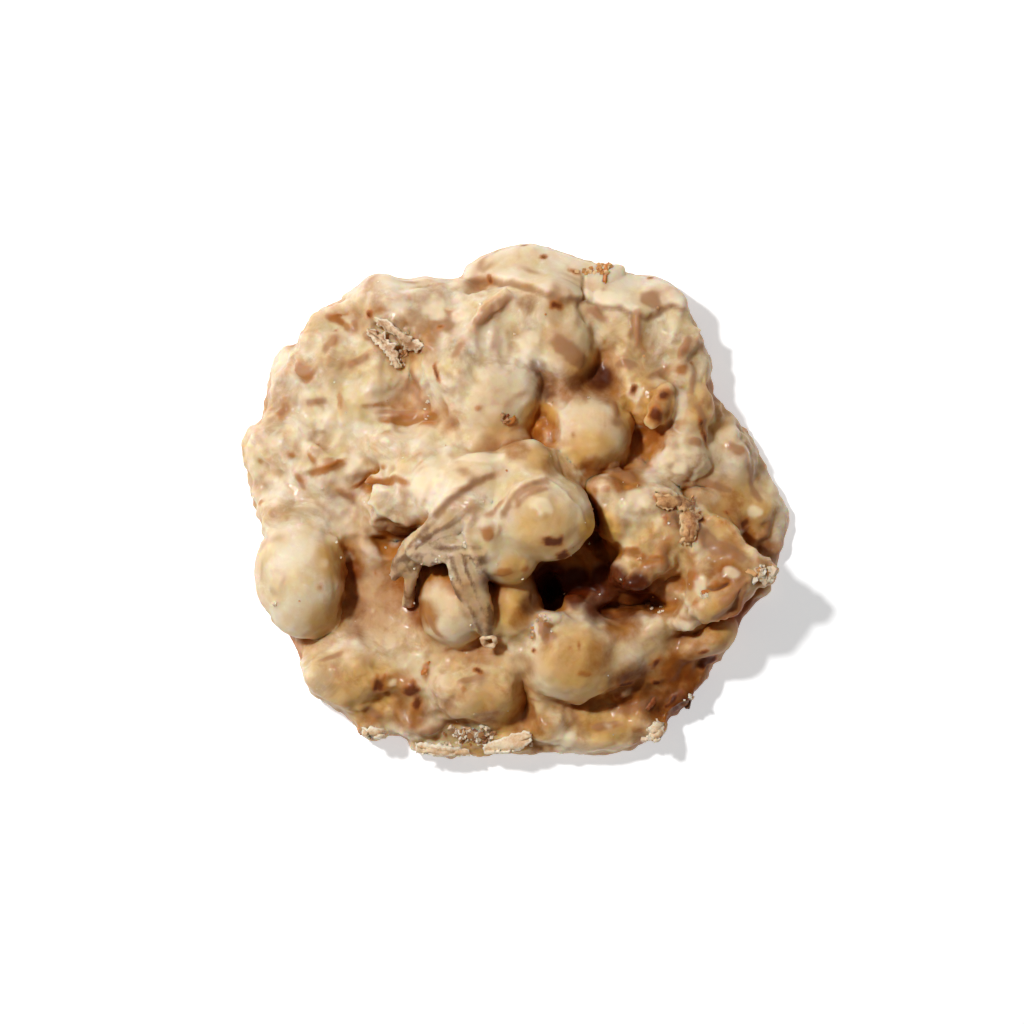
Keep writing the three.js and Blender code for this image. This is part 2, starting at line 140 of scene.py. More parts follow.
# %% A material
class Shade:
    """A material being written. Its colour is built up in layers, as paint is."""

    def __init__(self, name):
        self.material = bpy.data.materials.new(name)
        self.material.use_nodes = True
        self.tree = self.material.node_tree
        self.surface = self.tree.nodes["Principled BSDF"]
        self.place = self.node("ShaderNodeTexCoord", {}, {}, "Object")
        self.colour = None

    def node(self, kind, settings, inputs, output=0):
        made = self.tree.nodes.new(kind)
        for name, value in settings.items():
            setattr(made, name, value)
        for name, value in inputs.items():
            self.feed(made.inputs[name], value)
        return Value(self, made.outputs[output])

    def feed(self, socket, value):
        if isinstance(value, Value):
            self.tree.links.new(value.socket, socket)
        else:
            socket.default_value = value

    def noise(self, size, detail=2.0, roughness=0.5, warp=0.0):
        """Noise from 0 to 1 whose lumps are about size metres across."""
        inputs = {"Vector": self.place, "Scale": 0.5 / size, "Detail": detail, "Roughness": roughness}
        return self.node("ShaderNodeTexNoise", {}, {**inputs, "Distortion": warp})

    def cover(self, share, layer, blend="MIX"):
        """Lays a colour over the colour so far, where share is above 0."""
        settings = {"data_type": "RGBA", "blend_type": blend}
        self.colour = self.node("ShaderNodeMix", settings, {0: share, 6: self.colour, 7: layer}, 2)

    def stain(self, share, layer):
        """Tints the colour so far as clear syrup does: what lies under it still shows."""
        self.cover(share, layer, "MULTIPLY")

    def mark(self, name, output="Fac"):
        """A value or colour that the mesh carries."""
        return self.node("ShaderNodeAttribute", {"attribute_name": name}, {}, output)

    def bumps(self, height, distance, strength):
        inputs = {"Height": height, "Distance": distance, "Strength": strength}
        return self.node("ShaderNodeBump", {}, inputs)

    def finish(self, inputs):
        """Gives the surface its inputs, numbers and colours as well as what varies over it."""
        for name, value in inputs.items():
            self.feed(self.surface.inputs[name], value)


def tint(red, green, blue):
    """A colour given as it looks on a screen, from 0 to 255, as the renderer wants it."""
    linear = [((c / 255 + 0.055) / 1.055) ** 2.4 for c in (red, green, blue)]
    return (*linear, 1.0)


# %% [markdown]
# ## The floor
# A wide plain sheet, pale and matte. The fill light is warm, so the floor's own glow is a little cool and
# shadows on it come out grey.

# %% Floor
FLOOR_SIZE = 3.0
FLOOR_GLOW = 0.54
FLOOR_DROP = 0.05 * MM  # so that it doesn't flicker through the underside

floor_shade = Shade("white_table")
floor_shade.finish(
    {
        "Base Color": (0.86, 0.86, 0.86, 1.0),
        "Roughness": 0.9,
        "Emission Color": (0.892, 0.948, 1.0, 1.0),
        "Emission Strength": FLOOR_GLOW,
    }
)

bm = bmesh.new()
bmesh.ops.create_grid(bm, x_segments=1, y_segments=1, size=FLOOR_SIZE / 2)
floor = bpy.data.objects.new("floor", bpy.data.meshes.new("floor"))
bm.to_mesh(floor.data)
bm.free()
floor.data.materials.append(floor_shade.material)
bpy.context.scene.collection.objects.link(floor)
floor.location.z = -FLOOR_DROP
print("floor", FLOOR_SIZE, "m wide")

# %% [markdown]
# ## One skin
# The solids are faceted, and the nuts and the curl sit in seats with a small gap. Chocolate has neither
# facets nor gaps: it is one skin over everything. So all the solids are copied together, each nut grown
# until it fills its seat, and the copy is turned into one skin of small squares with a voxel Remesh. A few
# rounds of smoothing take the facets out.

# %% Copy, grow, remesh and smooth
SAME_PLACE = 0.002 * MM  # corners of the solids' loose triangles that are this close are one


def move_into(bm, part):
    """Moves all of one bmesh into another."""
    mesh = bpy.data.meshes.new("part")
    part.to_mesh(mesh)
    part.free()
    bm.from_mesh(mesh)
    bpy.data.meshes.remove(mesh)


def copied(bm, node, growth=0.0):
    """Adds a merged copy of a solid to a mesh under construction, moved outwards by growth."""
    part = bmesh.new()
    part.from_mesh(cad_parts[node].data)
    bmesh.ops.remove_doubles(part, verts=part.verts, dist=SAME_PLACE)
    part.normal_update()
    for vert in part.verts:
        vert.co += vert.normal * growth
    move_into(bm, part)


def applied(piece):
    """Bakes a piece's modifiers into its mesh."""
    whole = piece.evaluated_get(bpy.context.evaluated_depsgraph_get())
    mesh = bpy.data.meshes.new_from_object(whole)
    old = piece.data
    piece.modifiers.clear()
    piece.data = mesh
    bpy.data.meshes.remove(old)
    mesh.name = piece.name
    return piece


def new_piece(name, bm):
    """Turns a bmesh into an object of the scene."""
    piece = bpy.data.objects.new(name, bpy.data.meshes.new(name))
    bm.to_mesh(piece.data)
    bm.free()
    bpy.context.scene.collection.objects.link(piece)
    return piece


def soft_copy(name, bm, voxel, rounds):
    """One smooth skin round all that a bmesh holds."""
    piece = new_piece(name, bm)
    squares = piece.modifiers.new("squares", "REMESH")
    squares.mode = "VOXEL"
    squares.voxel_size = voxel
    smooth = piece.modifiers.new("smooth", "SMOOTH")
    smooth.factor = 0.5
    smooth.iterations = rounds
    return applied(piece)


# %% [markdown]
# Chocolate also gathers where nuts lean on each other and under the curl. Those places are filled with
# ellipsoids before the skin is made.

# %% The skin
SEAT_FILL = 0.32 * MM
CURL_FILL = 0.2 * MM
SKIN_VOXEL = 0.43 * MM
SMOOTH_ROUNDS = 8

# x, y and z of the middle, the three radii, and the turn in degrees, in millimetres
GATHERED = [
    # between the ridge of the curl and the dome, and the floor of the hollow in the curl
    (-6.4, -0.8, 20.6, 2.8, 2.2, 1.5, 45), (-10.8, -5.6, 16.4, 3, 2.4, 1.4, 0),
    # between the two nuts at the back, and below the left one
    (4.6, 17.2, 7.8, 4.6, 4.2, 3.8, 0), (-6.5, 9.5, 11, 5.5, 3.6, 4.6, -10),
    (-1, 10.4, 11, 4, 3.2, 3.8, -20),
    # right of the crown: the slope that comes up close to it, and a lump above that
    (16.6, -3.4, 12, 3, 4.6, 4.8, 10), (14.8, 1.5, 12, 2.4, 2.6, 3.4, 0),
    # right of the cavity
    (27, -14.6, 8, 4, 3.2, 4.6, 0),
    # the rim below the chunk
    (33.6, -23.4, 7, 4.8, 2.8, 5.6, 40), (29.4, -25, 6.6, 4, 2.8, 4.4, 20),
    # the cap of the front nut
    (5.2, -19.6, 13.4, 2.8, 1.2, 2.4, -8), (4.2, -21.8, 13.6, 1.1, 2.8, 2.3, -12),
]


def gathered(bm, x, y, z, along, across, up, turn):
    made = bmesh.ops.create_icosphere(bm, subdivisions=3, radius=1.0)["verts"]
    bmesh.ops.scale(bm, verts=made, vec=(along * MM, across * MM, up * MM))
    bmesh.ops.rotate(bm, verts=made, matrix=Matrix.Rotation(math.radians(turn), 3, "Z"))
    bmesh.ops.translate(bm, verts=made, vec=Vector((x, y, z)) * MM)


bm = bmesh.new()
copied(bm, "chocolate_body")
copied(bm, "forked_curl", CURL_FILL)
for nut in NUTS:
    copied(bm, nut, SEAT_FILL)
for row in GATHERED:
    gathered(bm, *row)
skin = soft_copy("coat", bm, SKIN_VOXEL, SMOOTH_ROUNDS)
print("faces of the skin", len(skin.data.polygons))

# %% [markdown]
# ## Working on many points at once
# The relief is worked out for every point of a skin together, as arrays in millimetres. These helpers take
# a mesh apart into arrays and put it back.

# %% Arrays of points
def rows_of(piece, what):
    flat = np.empty(3 * len(piece.data.vertices))
    piece.data.vertices.foreach_get(what, flat)
    return flat.reshape(-1, 3)


def points_of(piece):
    return rows_of(piece, "co") / MM


def normals_of(piece):
    return rows_of(piece, "normal")


def put_points(piece, points):
    piece.data.vertices.foreach_set("co", (points * MM).ravel())
    piece.data.update()


def store(piece, name, values):
    """Keeps one number a point on the mesh, for the material to read."""
    layer = piece.data.attributes.get(name) or piece.data.attributes.new(name, "FLOAT", "POINT")
    layer.data.foreach_set("value", values.astype(np.float32))


def soft_step(values, low, high):
    share = np.clip((values - low) / (high - low), 0.0, 1.0)
    return share * share * (3 - 2 * share)


def waves(points, size, shift=0.0):
    """Smooth noise from about -1 to 1 at each point, with lumps of the given size."""
    offset = Vector((shift, 1.7 * shift, -shift))
    return np.array([noise.noise(Vector(p) / size + offset) for p in points])


def layered(points, layers):
    """A sum of waves. Each layer is its height and size in millimetres and its shift."""
    return sum(height * waves(points, size, shift) for height, size, shift in layers)


def edges_of(piece):
    pairs = np.empty(2 * len(piece.data.edges), dtype=np.int32)
    piece.data.edges.foreach_get("vertices", pairs)
    return pairs.reshape(-1, 2)


def means(values, edges):
    """The mean of each point's neighbours, for values with one column or more."""
    count = np.bincount(edges.ravel(), minlength=len(values))
    columns = []
    for column in values.T:
        total = np.bincount(edges[:, 0], column[edges[:, 1]], len(values))
        total += np.bincount(edges[:, 1], column[edges[:, 0]], len(values))
        columns.append(total / count)
    return np.stack(columns, axis=1)


def tree_of(bm):
    """Turns a bmesh into something to shoot rays at and to measure from."""
    tree = BVHTree.FromBMesh(bm)
    bm.free()
    return tree


def skin_tree():
    bm = bmesh.new()
    bm.from_mesh(skin.data)
    return tree_of(bm)


# %% [markdown]
# ## Chocolate flows into the valleys
# Melted chocolate leaves the crests and gathers where lumps meet, so the nuts don't stand on the patty like
# marbles: they rise out of it. A point in a valley lies lower than the mean of its neighbours. Moving only
# such points out, a little at a time, fills the valleys and leaves the crests alone. The deep gaps round
# the highest nut stay open.

# %% Fill the valleys
FLOW_SPEED = 0.6
FLOW_ROUNDS = 100
FLOW_MOST = 1.7  # millimetres
FOOT_FADE = (0.4, 2.0)  # heights over which the flow fades out towards the table
# x, y and reach of the gaps that stay open
OPEN_GAPS = [(5.6, -16.6, 5.0), (14.6, -8.0, 4.5), (-18.0, -4.4, 3.0), (38.2, -7.2, 3.0), (-21.0, -12.0, 3.0)]


def flowed(piece):
    """Fills a skin's valleys and gives back how far each point moved."""
    points = points_of(piece)
    start = points.copy()
    normals = normals_of(piece)
    edges = edges_of(piece)
    share = soft_step(points[:, 2], *FOOT_FADE)
    for x, y, reach in OPEN_GAPS:
        share *= soft_step(np.hypot(points[:, 0] - x, points[:, 1] - y), 0.5 * reach, reach)
    moved = np.zeros(len(points))
    for _ in range(FLOW_ROUNDS):
        rise = np.einsum("ij,ij->i", means(points, edges) - points, normals)
        step = np.maximum(rise, 0.0) * FLOW_SPEED * share * (moved < FLOW_MOST)
        moved += step
        points = points + normals * step[:, None]
    put_points(piece, points)
    return np.linalg.norm(points - start, axis=1)


flow = flowed(skin)
print("deepest fill in mm", round(float(flow.max()), 2), "mean", round(float(flow.mean()), 3))

# %% [markdown]
# ## Where nuts and the curl are
# The coat is thin and smooth over a nut, and streaky over the curl. Each point of the skin gets two numbers
# for that: how far it stands clear of the solid chocolate, and how near it lies to the solid curl.

# %% Clear of the chocolate, near the curl
CREEP_NOISE = 0.5
FLOW_HIDES = 2.0  # how much a fill takes from the clearance, as a share of the fill
CURL_NEAR = (0.5, 1.6)  # millimetres from the solid curl


def away_from(node, points):
    """How far each point lies from a solid, in millimetres."""
    bm = bmesh.new()
    copied(bm, node)
    tree = tree_of(bm)
    return np.array([tree.find_nearest(Vector(p) * MM)[3] for p in points]) / MM


start = points_of(skin)
clear = away_from("chocolate_body", start) - FLOW_HIDES * flow + CREEP_NOISE * waves(start, 2.4, 9.4)
curl_share = 1 - soft_step(away_from("forked_curl", start), *CURL_NEAR)
print("points", len(start), "of them near the curl", int((curl_share > 0.5).sum()))

# %% [markdown]
# ## Marks: flakes and bits under the coat
# Every flake under the coat lifts it a little and colours it. Such a mark is a small rounded rectangle laid
# on the skin: it has a middle, a direction, a length, a width, a lift and a tone. The ones that can be
# picked out in the photo are listed in millimetres, and the rest are strewn by a seeded draw.

# %% Tones
TONES = ("strip", "amber", "dark", "pale")
USUAL = (0, 0.3)

# x, y, length, width, turn in degrees and lift, in millimetres. Turn 0 runs along +X, 90 along +Y. A row
# that leaves out its lift, or its turn and lift, has the usual ones.
HAND_MARKS = {}

# %% Strips of flake
HAND_MARKS["strip"] = [
    # back left, from the rim inwards
    (-30.8, 30.9, 3.4, 1.2, -20), (-27.4, 29.6, 2.6, 1.4, -80, 0.35), (-31.4, 26.2, 4.2, 1.8, 55),
    (-39.4, 15.6, 3.4, 1.6, 60), (-35.9, 22, 3.8, 2.6, -20, 0.5), (-12.4, 29.6, 5, 3.6, 20),
    (-11.4, 31.6, 3.6, 1.6, -30), (-20.2, 15, 8.4, 1, 4), (-31.2, 6.6, 3, 1.6, 0, 0.4),
    (-23.4, 3, 5.2, 1.6, -14, 0.4), (-24.6, 27.6, 4.4, 1.6, -40, 0.35), (-16.6, 20.6, 5.4, 1.4, -65),
    (-26.8, 23.6, 4.4, 1.4, 24), (-33.6, 16.8, 4.4, 1.2, 12), (-20.4, 24.4, 3.6, 1.4, -12),
    (-9.8, 25.4, 4.6, 1.3, 62), (-28.8, 1.2, 5, 1.4, -38), (-36.2, 3.4, 4, 1.3, -66),
    # the long strip and the rough one on the back nut
    (-4.1, 31.8, 8.4, 2.3, 41, 0.55), (9, 25, 8.8, 3.4, -44, 0.7), (6.6, 33.2, 2.6, 1.8, 0, 0.4),
    (13.8, 31.2, 5, 1.6, -30),
    # back right
    (20.4, 28.8, 6.4, 1.2, 90, 0.4), (22.8, 33.6, 3.4, 4, 90, 0.35), (28.6, 26, 4.8, 1.4, 66, 0.35),
    (18.6, 23, 4, 2, -20, 0.35), (31, 13.6, 6.8, 1.4, -68, 0.35), (26.8, 15.4, 8, 3, 80, 0.2),
    (24.2, 21.6, 5.4, 1.4, 40), (29.8, 20, 5.6, 1.2, 78), (16.6, 15.4, 4.4, 1.2, 64),
    # right
    (37.2, 8.8, 4, 2, -30, 0.35), (39.8, 5.4, 4, 1.6, -50, 0.35), (29.9, 9.8, 2.6, 2, 0, 0.4),
    (34, 2.4, 6, 1.6, -20), (40.6, 1.6, 5, 1.4, -70), (43, -4.6, 4.4, 1.4, 80),
    (21.2, 6.6, 5, 1.8, -34, 0.4), (17.8, 4.6, 5.4, 2.4, -50, 0.45), (25.8, -2.4, 6, 2.6, -70, 0.45),
    (31.8, -6.4, 8, 3, -46, 0.4), (36.4, -9, 5.4, 2.6, -40, 0.4), (29.4, -12.6, 5, 2.6, -80, 0.4),
    (36, -16, 6, 2, 34, 0.4), (20.6, -12.2, 7.4, 2.2, 40, 0.45), (24.4, -9.4, 5, 1.8, 84, 0.4),
    # over the raised nut and its neighbour
    (-6.4, 3, 7, 0.8, 24, 0.35), (2.6, 1, 9.8, 0.8, 29, 0.35), (-3.2, -1.4, 5, 1, 34),
    # front
    (4.6, -21.6, 5.4, 2.6, -50, 0.4), (-8.6, -39.8, 6.4, 2.4), (22.2, -34.6, 5, 2, 30, 0.35),
    (-14.6, -38.6, 5.4, 1.6, 6), (-24.6, -35.8, 5, 1.6, -30), (15.4, -38.2, 6, 1.6, 10),
    (-31.4, -26.2, 5, 1.2, 20, 0.25), (-7.4, -30, 5, 1.2, 14, 0.25), (-14, -21, 5.6, 1.4, -60),
]

# %% Amber bits
HAND_MARKS["amber"] = [
    (-29.8, 17.2, 3.8, 0.9, -84, 0.4), (-34.5, 7, 2.6, 1.4, -60, 0.4), (-6.4, 15.6, 1.2, 1.2, 0, 0.35),
    (-1.2, 13.2, 2, 1.2, 40, 0.6), (28, 22.2, 2.6, 2), (-2.2, -12.2, 1.6, 1.2),
    (-15.2, -29, 3.8, 1.6, -84, 0.4), (-8.7, -31.8, 1.2, 1.2), (21.1, -9.4, 1.6, 1.2, 0, 0.4),
    (19, 2.4, 1.4, 1.2), (15.1, 1.8, 1.6, 1.2), (24.6, 0.4, 4.6, 2.2, -8, 0.7),
    (29, -3.6, 6.4, 1.8, -76, 0.5), (-33, -14.6, 1, 1, 0, 0.2), (29.6, -12.4, 1.6, 3, 80, 0.5),
    (-23.5, 16.1, 6.6, 0.9, 3, 0.2), (-14.8, 12.8, 3.4, 1), (23.2, -15.2, 3, 1.6, 20, 0.4),
    (-43.5, 6.7, 1.4, 1, 0, 0.2), (-38, 7.8, 1.4, 1, 0, 0.2), (-36, 3.6, 1.5, 1, 0, 0.2),
    (-43, -0.4, 1.4, 1, 0, 0.2), (-22.4, 5.7, 1.6, 1), (-4.9, -5.6, 3, 2, -60, 0.2),
    (-22.4, 25.2, 4, 0.8, -48), (11.6, -29, 2.4, 1, -20, 0.25), (33, -14, 2.6, 1.2, 20, 0.4),
    (29.2, -14.2, 1.8, 1.4), (30.3, -17.2, 1.6, 1.2, 30), (-2, -12, 3.6, 1.6, 10, 0.2),
    (1.6, -11.4, 1.8, 1.2, 0, 0.2), (13.4, 1.6, 1.8, 1.4), (5.4, -20.8, 2.4, 1.2, -30, 0.1),
    (5.2, -22.6, 2, 1, -70, 0.1), (2.8, -22.8, 1.6, 1, 60, 0.1),
]

# %% Dark bits
HAND_MARKS["dark"] = [
    (-24.4, 31.6, 1.5, 1.4, 0, 0.4), (-30, 31.4, 3.6, 0.8, 20), (-12.9, 29.4, 1.5, 1.1),
    (-13.4, 21.6, 3.8, 0.9, -70), (-4.4, 37.6, 1.6, 0.9, -60), (23.6, 14.6, 2.8, 2.4, 66, 0),
    (24.7, 17.6, 2.8, 2, 60, 0), (31.2, 12, 6.6, 0.8, -66), (19.8, 18.6, 2.2, 1.2, 80),
    (6.2, -6.8, 3.6, 2.6, -20, 0), (7.7, -9, 2.2, 3.4, 30, 0), (-18, -31.8, 3.4, 3.2, 20, 0.5),
    (-16.8, -34.4, 3, 2, 60, 0), (-23.2, -30.8, 2.8, 3, 0, 0.5), (-6.3, -28.7, 1.8, 1.1, -40),
    (23.8, -30.6, 2, 1.6), (26.4, -34, 5.4, 1.3, 46, 0.4), (29.2, -35, 3, 1.2, 50, 0.4),
    (22.8, 37.4, 1.2, 1, 0, 0.2), (35.5, -2.2, 1.3, 1, -40, 0.2), (15.5, -10.4, 1.2, 0.9, 0, 0.2),
    (23.6, -27.4, 3, 1.6, 60), (9.8, 38.6, 2.2, 1, -20), (1.6, 43, 1.8, 0.8, 0, 0.2),
    (4.6, 41.2, 1.2, 0.8, 0, 0.2), (-25.6, 3.2, 5.6, 0.7, 22, 0.1), (-30.8, 6.2, 5.4, 0.6, 22, 0.1),
    (38.6, -3.6, 2.4, 1.6, 40, 0.2), (31.6, -25.6, 3, 1, 30, 0.2), (18.6, -30.6, 4, 1.4, -20),
    (6.6, 32.8, 2.8, 1.6), (3, -25.2, 1.1, 0.8, 0, 0.2),
    (24.9, -3.4, 2.4, 1.1, 84, 0.2), (31.2, -2.6, 1.3, 2.2, 20, 0.2),
]

# %% Pale spots
HAND_MARKS["pale"] = [
    # the first row paints light: it lightens a valley at the right that lies in shade
    (31.3, 5, 4.4, 3, 30, 0.5), (27.6, 5.6, 2.6, 2, 0, 0.5), (-14, 32.6, 4.6, 4, 0, 0.2),
    (2.4, 27.2, 4, 4, 0, 0.15), (-28.4, 6.6, 4.4, 4, 0, 0.1), (-35.4, 9.2, 2, 1.6, 0, 0.2),
    (-33, 12.8, 2, 1.6, 0, 0.2), (4.2, -1, 4.6, 2.8, -10, 0.5), (-5.6, 7.6, 8, 4, -10, 0.1),
    (-15, 2.6, 8, 5, 20, 0.1), (19.8, 18.4, 3.4, 3.6, 0, 0.1), (27.4, 16.2, 7, 3, 84, 0.1),
    (20.4, 0.2, 5.6, 4.6, 0, 0.2), (40.6, -1.9, 3.4, 2.4), (31.2, -14.6, 3.4, 2.4),
    (29.4, -20.4, 4.6, 2.4, 20, 0.4), (-40.4, -17.4, 1.4, 1.4, 0, 0.4), (6.4, -20, 3.4, 1.6, -8),
    (3.2, -21.6, 1.6, 3.4, 0, 0.2), (31, -14.3, 2.6, 4.4), (16, -42, 8, 1.6, 8),
    (7.5, -40.2, 7, 2.6, 0, 0.2), (-20.8, -30.8, 1.6, 1.6), (-14.8, 3.4, 6, 4.6, 20, 0.1),
    (-6.8, -38.8, 6.6, 2.2, 4), (36, -12, 3.4, 2, -30), (-24, -1.8, 5, 3, -20, 0.2),
    (12, -14, 1.4, 1, 0, 0.2), (-9.6, 31.2, 3, 2, 0, 0.1), (15, 34, 9, 3, -6, 0.1),
]
print("marks placed by hand", sum(map(len, HAND_MARKS.values())))

# %% Strewn marks
# How many more are strewn, and the least and most length, width and lift of each.
STREWN = {
    "strip": (320, (2.0, 7.0), (0.8, 2.4), (0.1, 0.4)),
    "amber": (170, (0.8, 3.6), (0.5, 1.5), (0.05, 0.25)),
    "dark": (14, (0.6, 1.6), (0.3, 0.6), (0.02, 0.1)),
    "pale": (120, (1.4, 4.0), (1.0, 2.6), (0.05, 0.2)),
}
MARK_SEED = 5
FAINT = (0.25, 0.8)  # how strong the colour of a strewn mark is
# Where the edge of a mark starts and ends, as shares of its size
CRISP = (0.6, 1.15)
SOFT = (0.35, 1.2)
BURIED = (0.1, 1.35)
print("marks strewn", sum(count for count, *_ in STREWN.values()))

# %% [markdown]
# A mark's middle is found by looking straight down on the skin, so it lies on whatever is on top there. The
# strewn ones start from points picked at random all over the skin, the sides too.

# %% Lay the marks on the skin
SKY = 100  # millimetres, higher than the praline


def on_top(tree, x, y):
    """The highest point of the skin over x, y in millimetres, and its normal."""
    spot, normal, _, _ = tree.ray_cast(Vector((x, y, SKY)) * MM, Vector((0, 0, -1)))
    return (None, None) if spot is None else (spot / MM, normal)


STEEP = 0.3  # where the normal rises less than this, a mark is turned in the plane of the side
UP = Vector((0.0, 0.0, 1.0))


def laid(tone, spot, normal, length, width, turn, lift, edge, amount=1.0):
    """A mark's frame on the skin: its middle and its three directions."""
    along = Vector((math.cos(turn), math.sin(turn), 0.0))
    if abs(normal.z) < STEEP:
        along = UP * math.sin(turn) + normal.cross(UP) * math.cos(turn)
    along = (along - normal * along.dot(normal)).normalized()
    across = normal.cross(along)
    directions = np.array(along), np.array(across), np.array(normal)
    return tone, np.array(spot), directions, (length, width, lift), edge, amount


def lay_marks():
    tree = skin_tree()
    marks = []
    for tone, rows in HAND_MARKS.items():
        for x, y, length, width, *rest in rows:
            turn, lift = (*rest, *USUAL[len(rest):])
            spot, normal = on_top(tree, x, y)
            if spot is not None:
                edge = SOFT if tone == "dark" else CRISP
                marks.append(laid(tone, spot, normal, length, width, math.radians(turn), lift, edge))
    draw = random.Random(MARK_SEED)
    points, normals = points_of(skin), normals_of(skin)
    for tone, (count, lengths, widths, lifts) in STREWN.items():
        for _ in range(count):
            k = draw.randrange(len(points))
            sizes = draw.uniform(*lengths), draw.uniform(*widths), draw.uniform(0, math.pi)
            lift, amount = draw.uniform(*lifts), draw.uniform(*FAINT)
            marks.append(laid(tone, points[k], Vector(normals[k]), *sizes, lift, BURIED, amount))
    return marks


marks = lay_marks()
print("marks in all", len(marks))

# %% [markdown]
# ## Relief
# Broad smooth lumps, smaller ones on them, and the marks on top. The noise is read at the point's place in
# space, so a nut and the skin beside it get the same lumps. The coat over a nut is much smoother than the
# flaky mass, so the relief fades out as the skin climbs a nut. A few rounds of smoothing at the end melt the
# edges, as a coat of chocolate does.

# %% Calm places
# x, y, reach in millimetres, and how much of the relief is left at the middle of each
CALM = [
    (-20, -19, 12, 0.25), (38.5, 1, 8, 0.35), (34, 9, 6, 0.5), (-31, -30, 9, 0.4), (-3, -32, 9, 0.4),
    (15, -40, 8, 0.45), (21, -26, 9, 0.5), (22, 2, 5, 0.5), (14, 20, 7, 0.4), (36, -20, 8, 0.3),
    (-36, -2, 8, 0.6), (3, 37, 9, 0.3), (21, 33, 8, 0.3), (-12, -24, 6, 0.5), (-2, -40, 6, 0.6),
    (-36, -20, 6, 0.5), (34, -6, 6, 0.4), (35, -13, 7, 0.35),
]

# %% Honeyed, browned and deep places, with painted shade
# The same for colour: x, y, reach, and how far the coat there is painted from ivory to honey: the
# honey coat of some nuts, and painted shade on shaded sides and on the lower right
HONEY_AND_SHADE_SPOTS = [
    (-4, 17, 8, 0.3), (-2.6, 12, 5, 0.5), (8, 27, 7, 0.35), (12, 22, 6, 0.7), (12.6, 8, 7, 0.7),
    (12, 14, 6, 0.4), (10, -27, 10, 0.7), (5, -5, 9, 0.6), (0, -12, 5, 0.7), (-2, -38, 14, 0.7),
    (15, -35, 12, 0.7), (28, -32, 12, 0.65), (26, -24, 9, 0.5), (34, -14, 9, 0.5), (24, -10, 10, 0.6),
    (30, 6, 9, 0.35), (38, -2, 10, 0.7), (36, -20, 9, 0.8), (-20, -19, 12, 0.4), (-25, -32, 10, 0.7),
    (-10, -30, 9, 0.3), (-1, -18, 7, 0.75), (-9.4, -17.2, 7, 0.35), (22, 16, 9, 0.7), (18, 26, 8, 0.4),
    (-30, -10, 6, 0.7), (-32, -20, 5, 0.6), (14, -5, 6, 0.9), (-19, 24, 5, 0.5), (4, 14, 5, 0.9),
    (4, 7, 4, 0.6), (33, 16, 8, 0.6), (-12, 14, 5, 0.3), (12, 34, 9, 0.3), (-22, -5, 6, 0.2),
]

# The same for places painted brown: partly a coat turned brown, partly painted shade in creases and
# cast shadows
BROWN_AND_SHADE_SPOTS = [
    # back and right
    (10, 18.8, 4.5, 0.8), (15, 19.6, 5, 0.8), (5, 19, 4, 0.6), (24.5, 17, 3.5, 0.5), (20, 10, 4, 0.5),
    (13, 5.6, 3.5, 0.7), (18.4, 3.4, 4.6, 0.8), (21, -0.4, 3.6, 0.5), (0, 8.6, 3.5, 0.7), (6, 5.4, 3, 0.6),
    (33, 18, 4, 0.4), (43, -9, 4, 0.6), (41, -12, 5, 0.7), (36, -8, 4, 0.6), (35, -13, 6, 0.8),
    (22, -15, 6, 0.6), (38.5, -19, 6, 0.7), (24, -8, 4, 0.5), (28, -22, 6, 0.5), (33, -25, 6, 0.6),
    # front
    (18, -21, 5, 0.8), (20, -32, 7, 0.9), (28, -30, 8, 0.9), (25, -35, 6, 1), (8, -25, 6, 0.35),
    (14, -26, 5, 0.5), (1, -20, 3.5, 0.6), (1, -28, 4, 0.6), (2, -38, 5, 0.7), (-5, -37, 4, 0.5),
    (-11, -35, 5, 0.5), (-18, -36, 5, 0.7), (-20, -31, 4, 0.6), (-25, -38, 4, 0.6), (4, -43, 5, 0.5),
    (22, -41, 5, 0.5),
    # left and back left
    (-27.8, -12, 3.6, 0.7), (-28, -18, 4, 0.7), (-15.5, -19, 4, 0.8), (-28, -22, 3, 0.5),
    (-17, 28, 7, 0.65), (-15, 34, 5, 0.5), (-33, 10, 4, 0.5), (-5, 9, 3.6, 0.5), (-44, 3, 3, 0.4),
    (-41, 13, 3, 0.4), (-25, 32, 5, 0.5), (2, 33, 3, 0.5), (-35, 5.4, 4, 0.4), (-28, 5, 4, 0.4),
    (-12, 13, 3, 0.4), (-25, 37, 4, 0.4), (-40, 18, 4, 0.3), (-14, 24, 3.5, 0.5),
]

# The same for painted shade: seats, gaps and cast shadows that are painted dark
DEEP_SHADE_SPOTS = [
    (6, -13.6, 5, 1), (10, -14.4, 5, 1), (15.5, -13.8, 5, 1), (20.5, -14.6, 3.8, 0.9),
    (14, -17.6, 4.5, 0.8), (22.8, -17, 3, 0.6), (13.8, -7.4, 2, 0.4), (-19.8, -5.6, 2.4, 0.6),
    (19, -17.6, 4, 0.7), (2.6, -17.4, 3.2, 0.6), (15.2, -4, 2, 0.4), (12.6, -2, 2, 0.4),
    (-16.6, -14.6, 2.4, 0.4), (-4.4, -14, 2.6, 0.6), (24, -33.6, 5, 0.5), (19, -30.6, 4, 0.4),
    (28, -34, 4, 0.5), (14, 20.8, 4, 0.7), (10, 19.6, 3, 0.5), (3.6, 22.4, 2.4, 0.5), (4.4, 18, 2.6, 0.5),
]

# %% Amounts of round places
def spotted(points, spots, blend, start):
    """Blends the amounts of round spots in plan over a start value."""
    values = np.full(len(points), start)
    for x, y, reach, amount in spots:
        away = np.hypot(points[:, 0] - x, points[:, 1] - y)
        values = blend(values, start + (amount - start) * (1 - soft_step(away, 0.35 * reach, reach)))
    return values


# %% [markdown]
# ## Folds
# The coat laps over itself in places and cracks in others. Each such line is drawn as a path in plan. A fold
# lifts the skin on the left of its path: steeply at the path, then less and less. A crack is a narrow groove.
# Only what lies on top follows a path, not what passes deep below it.

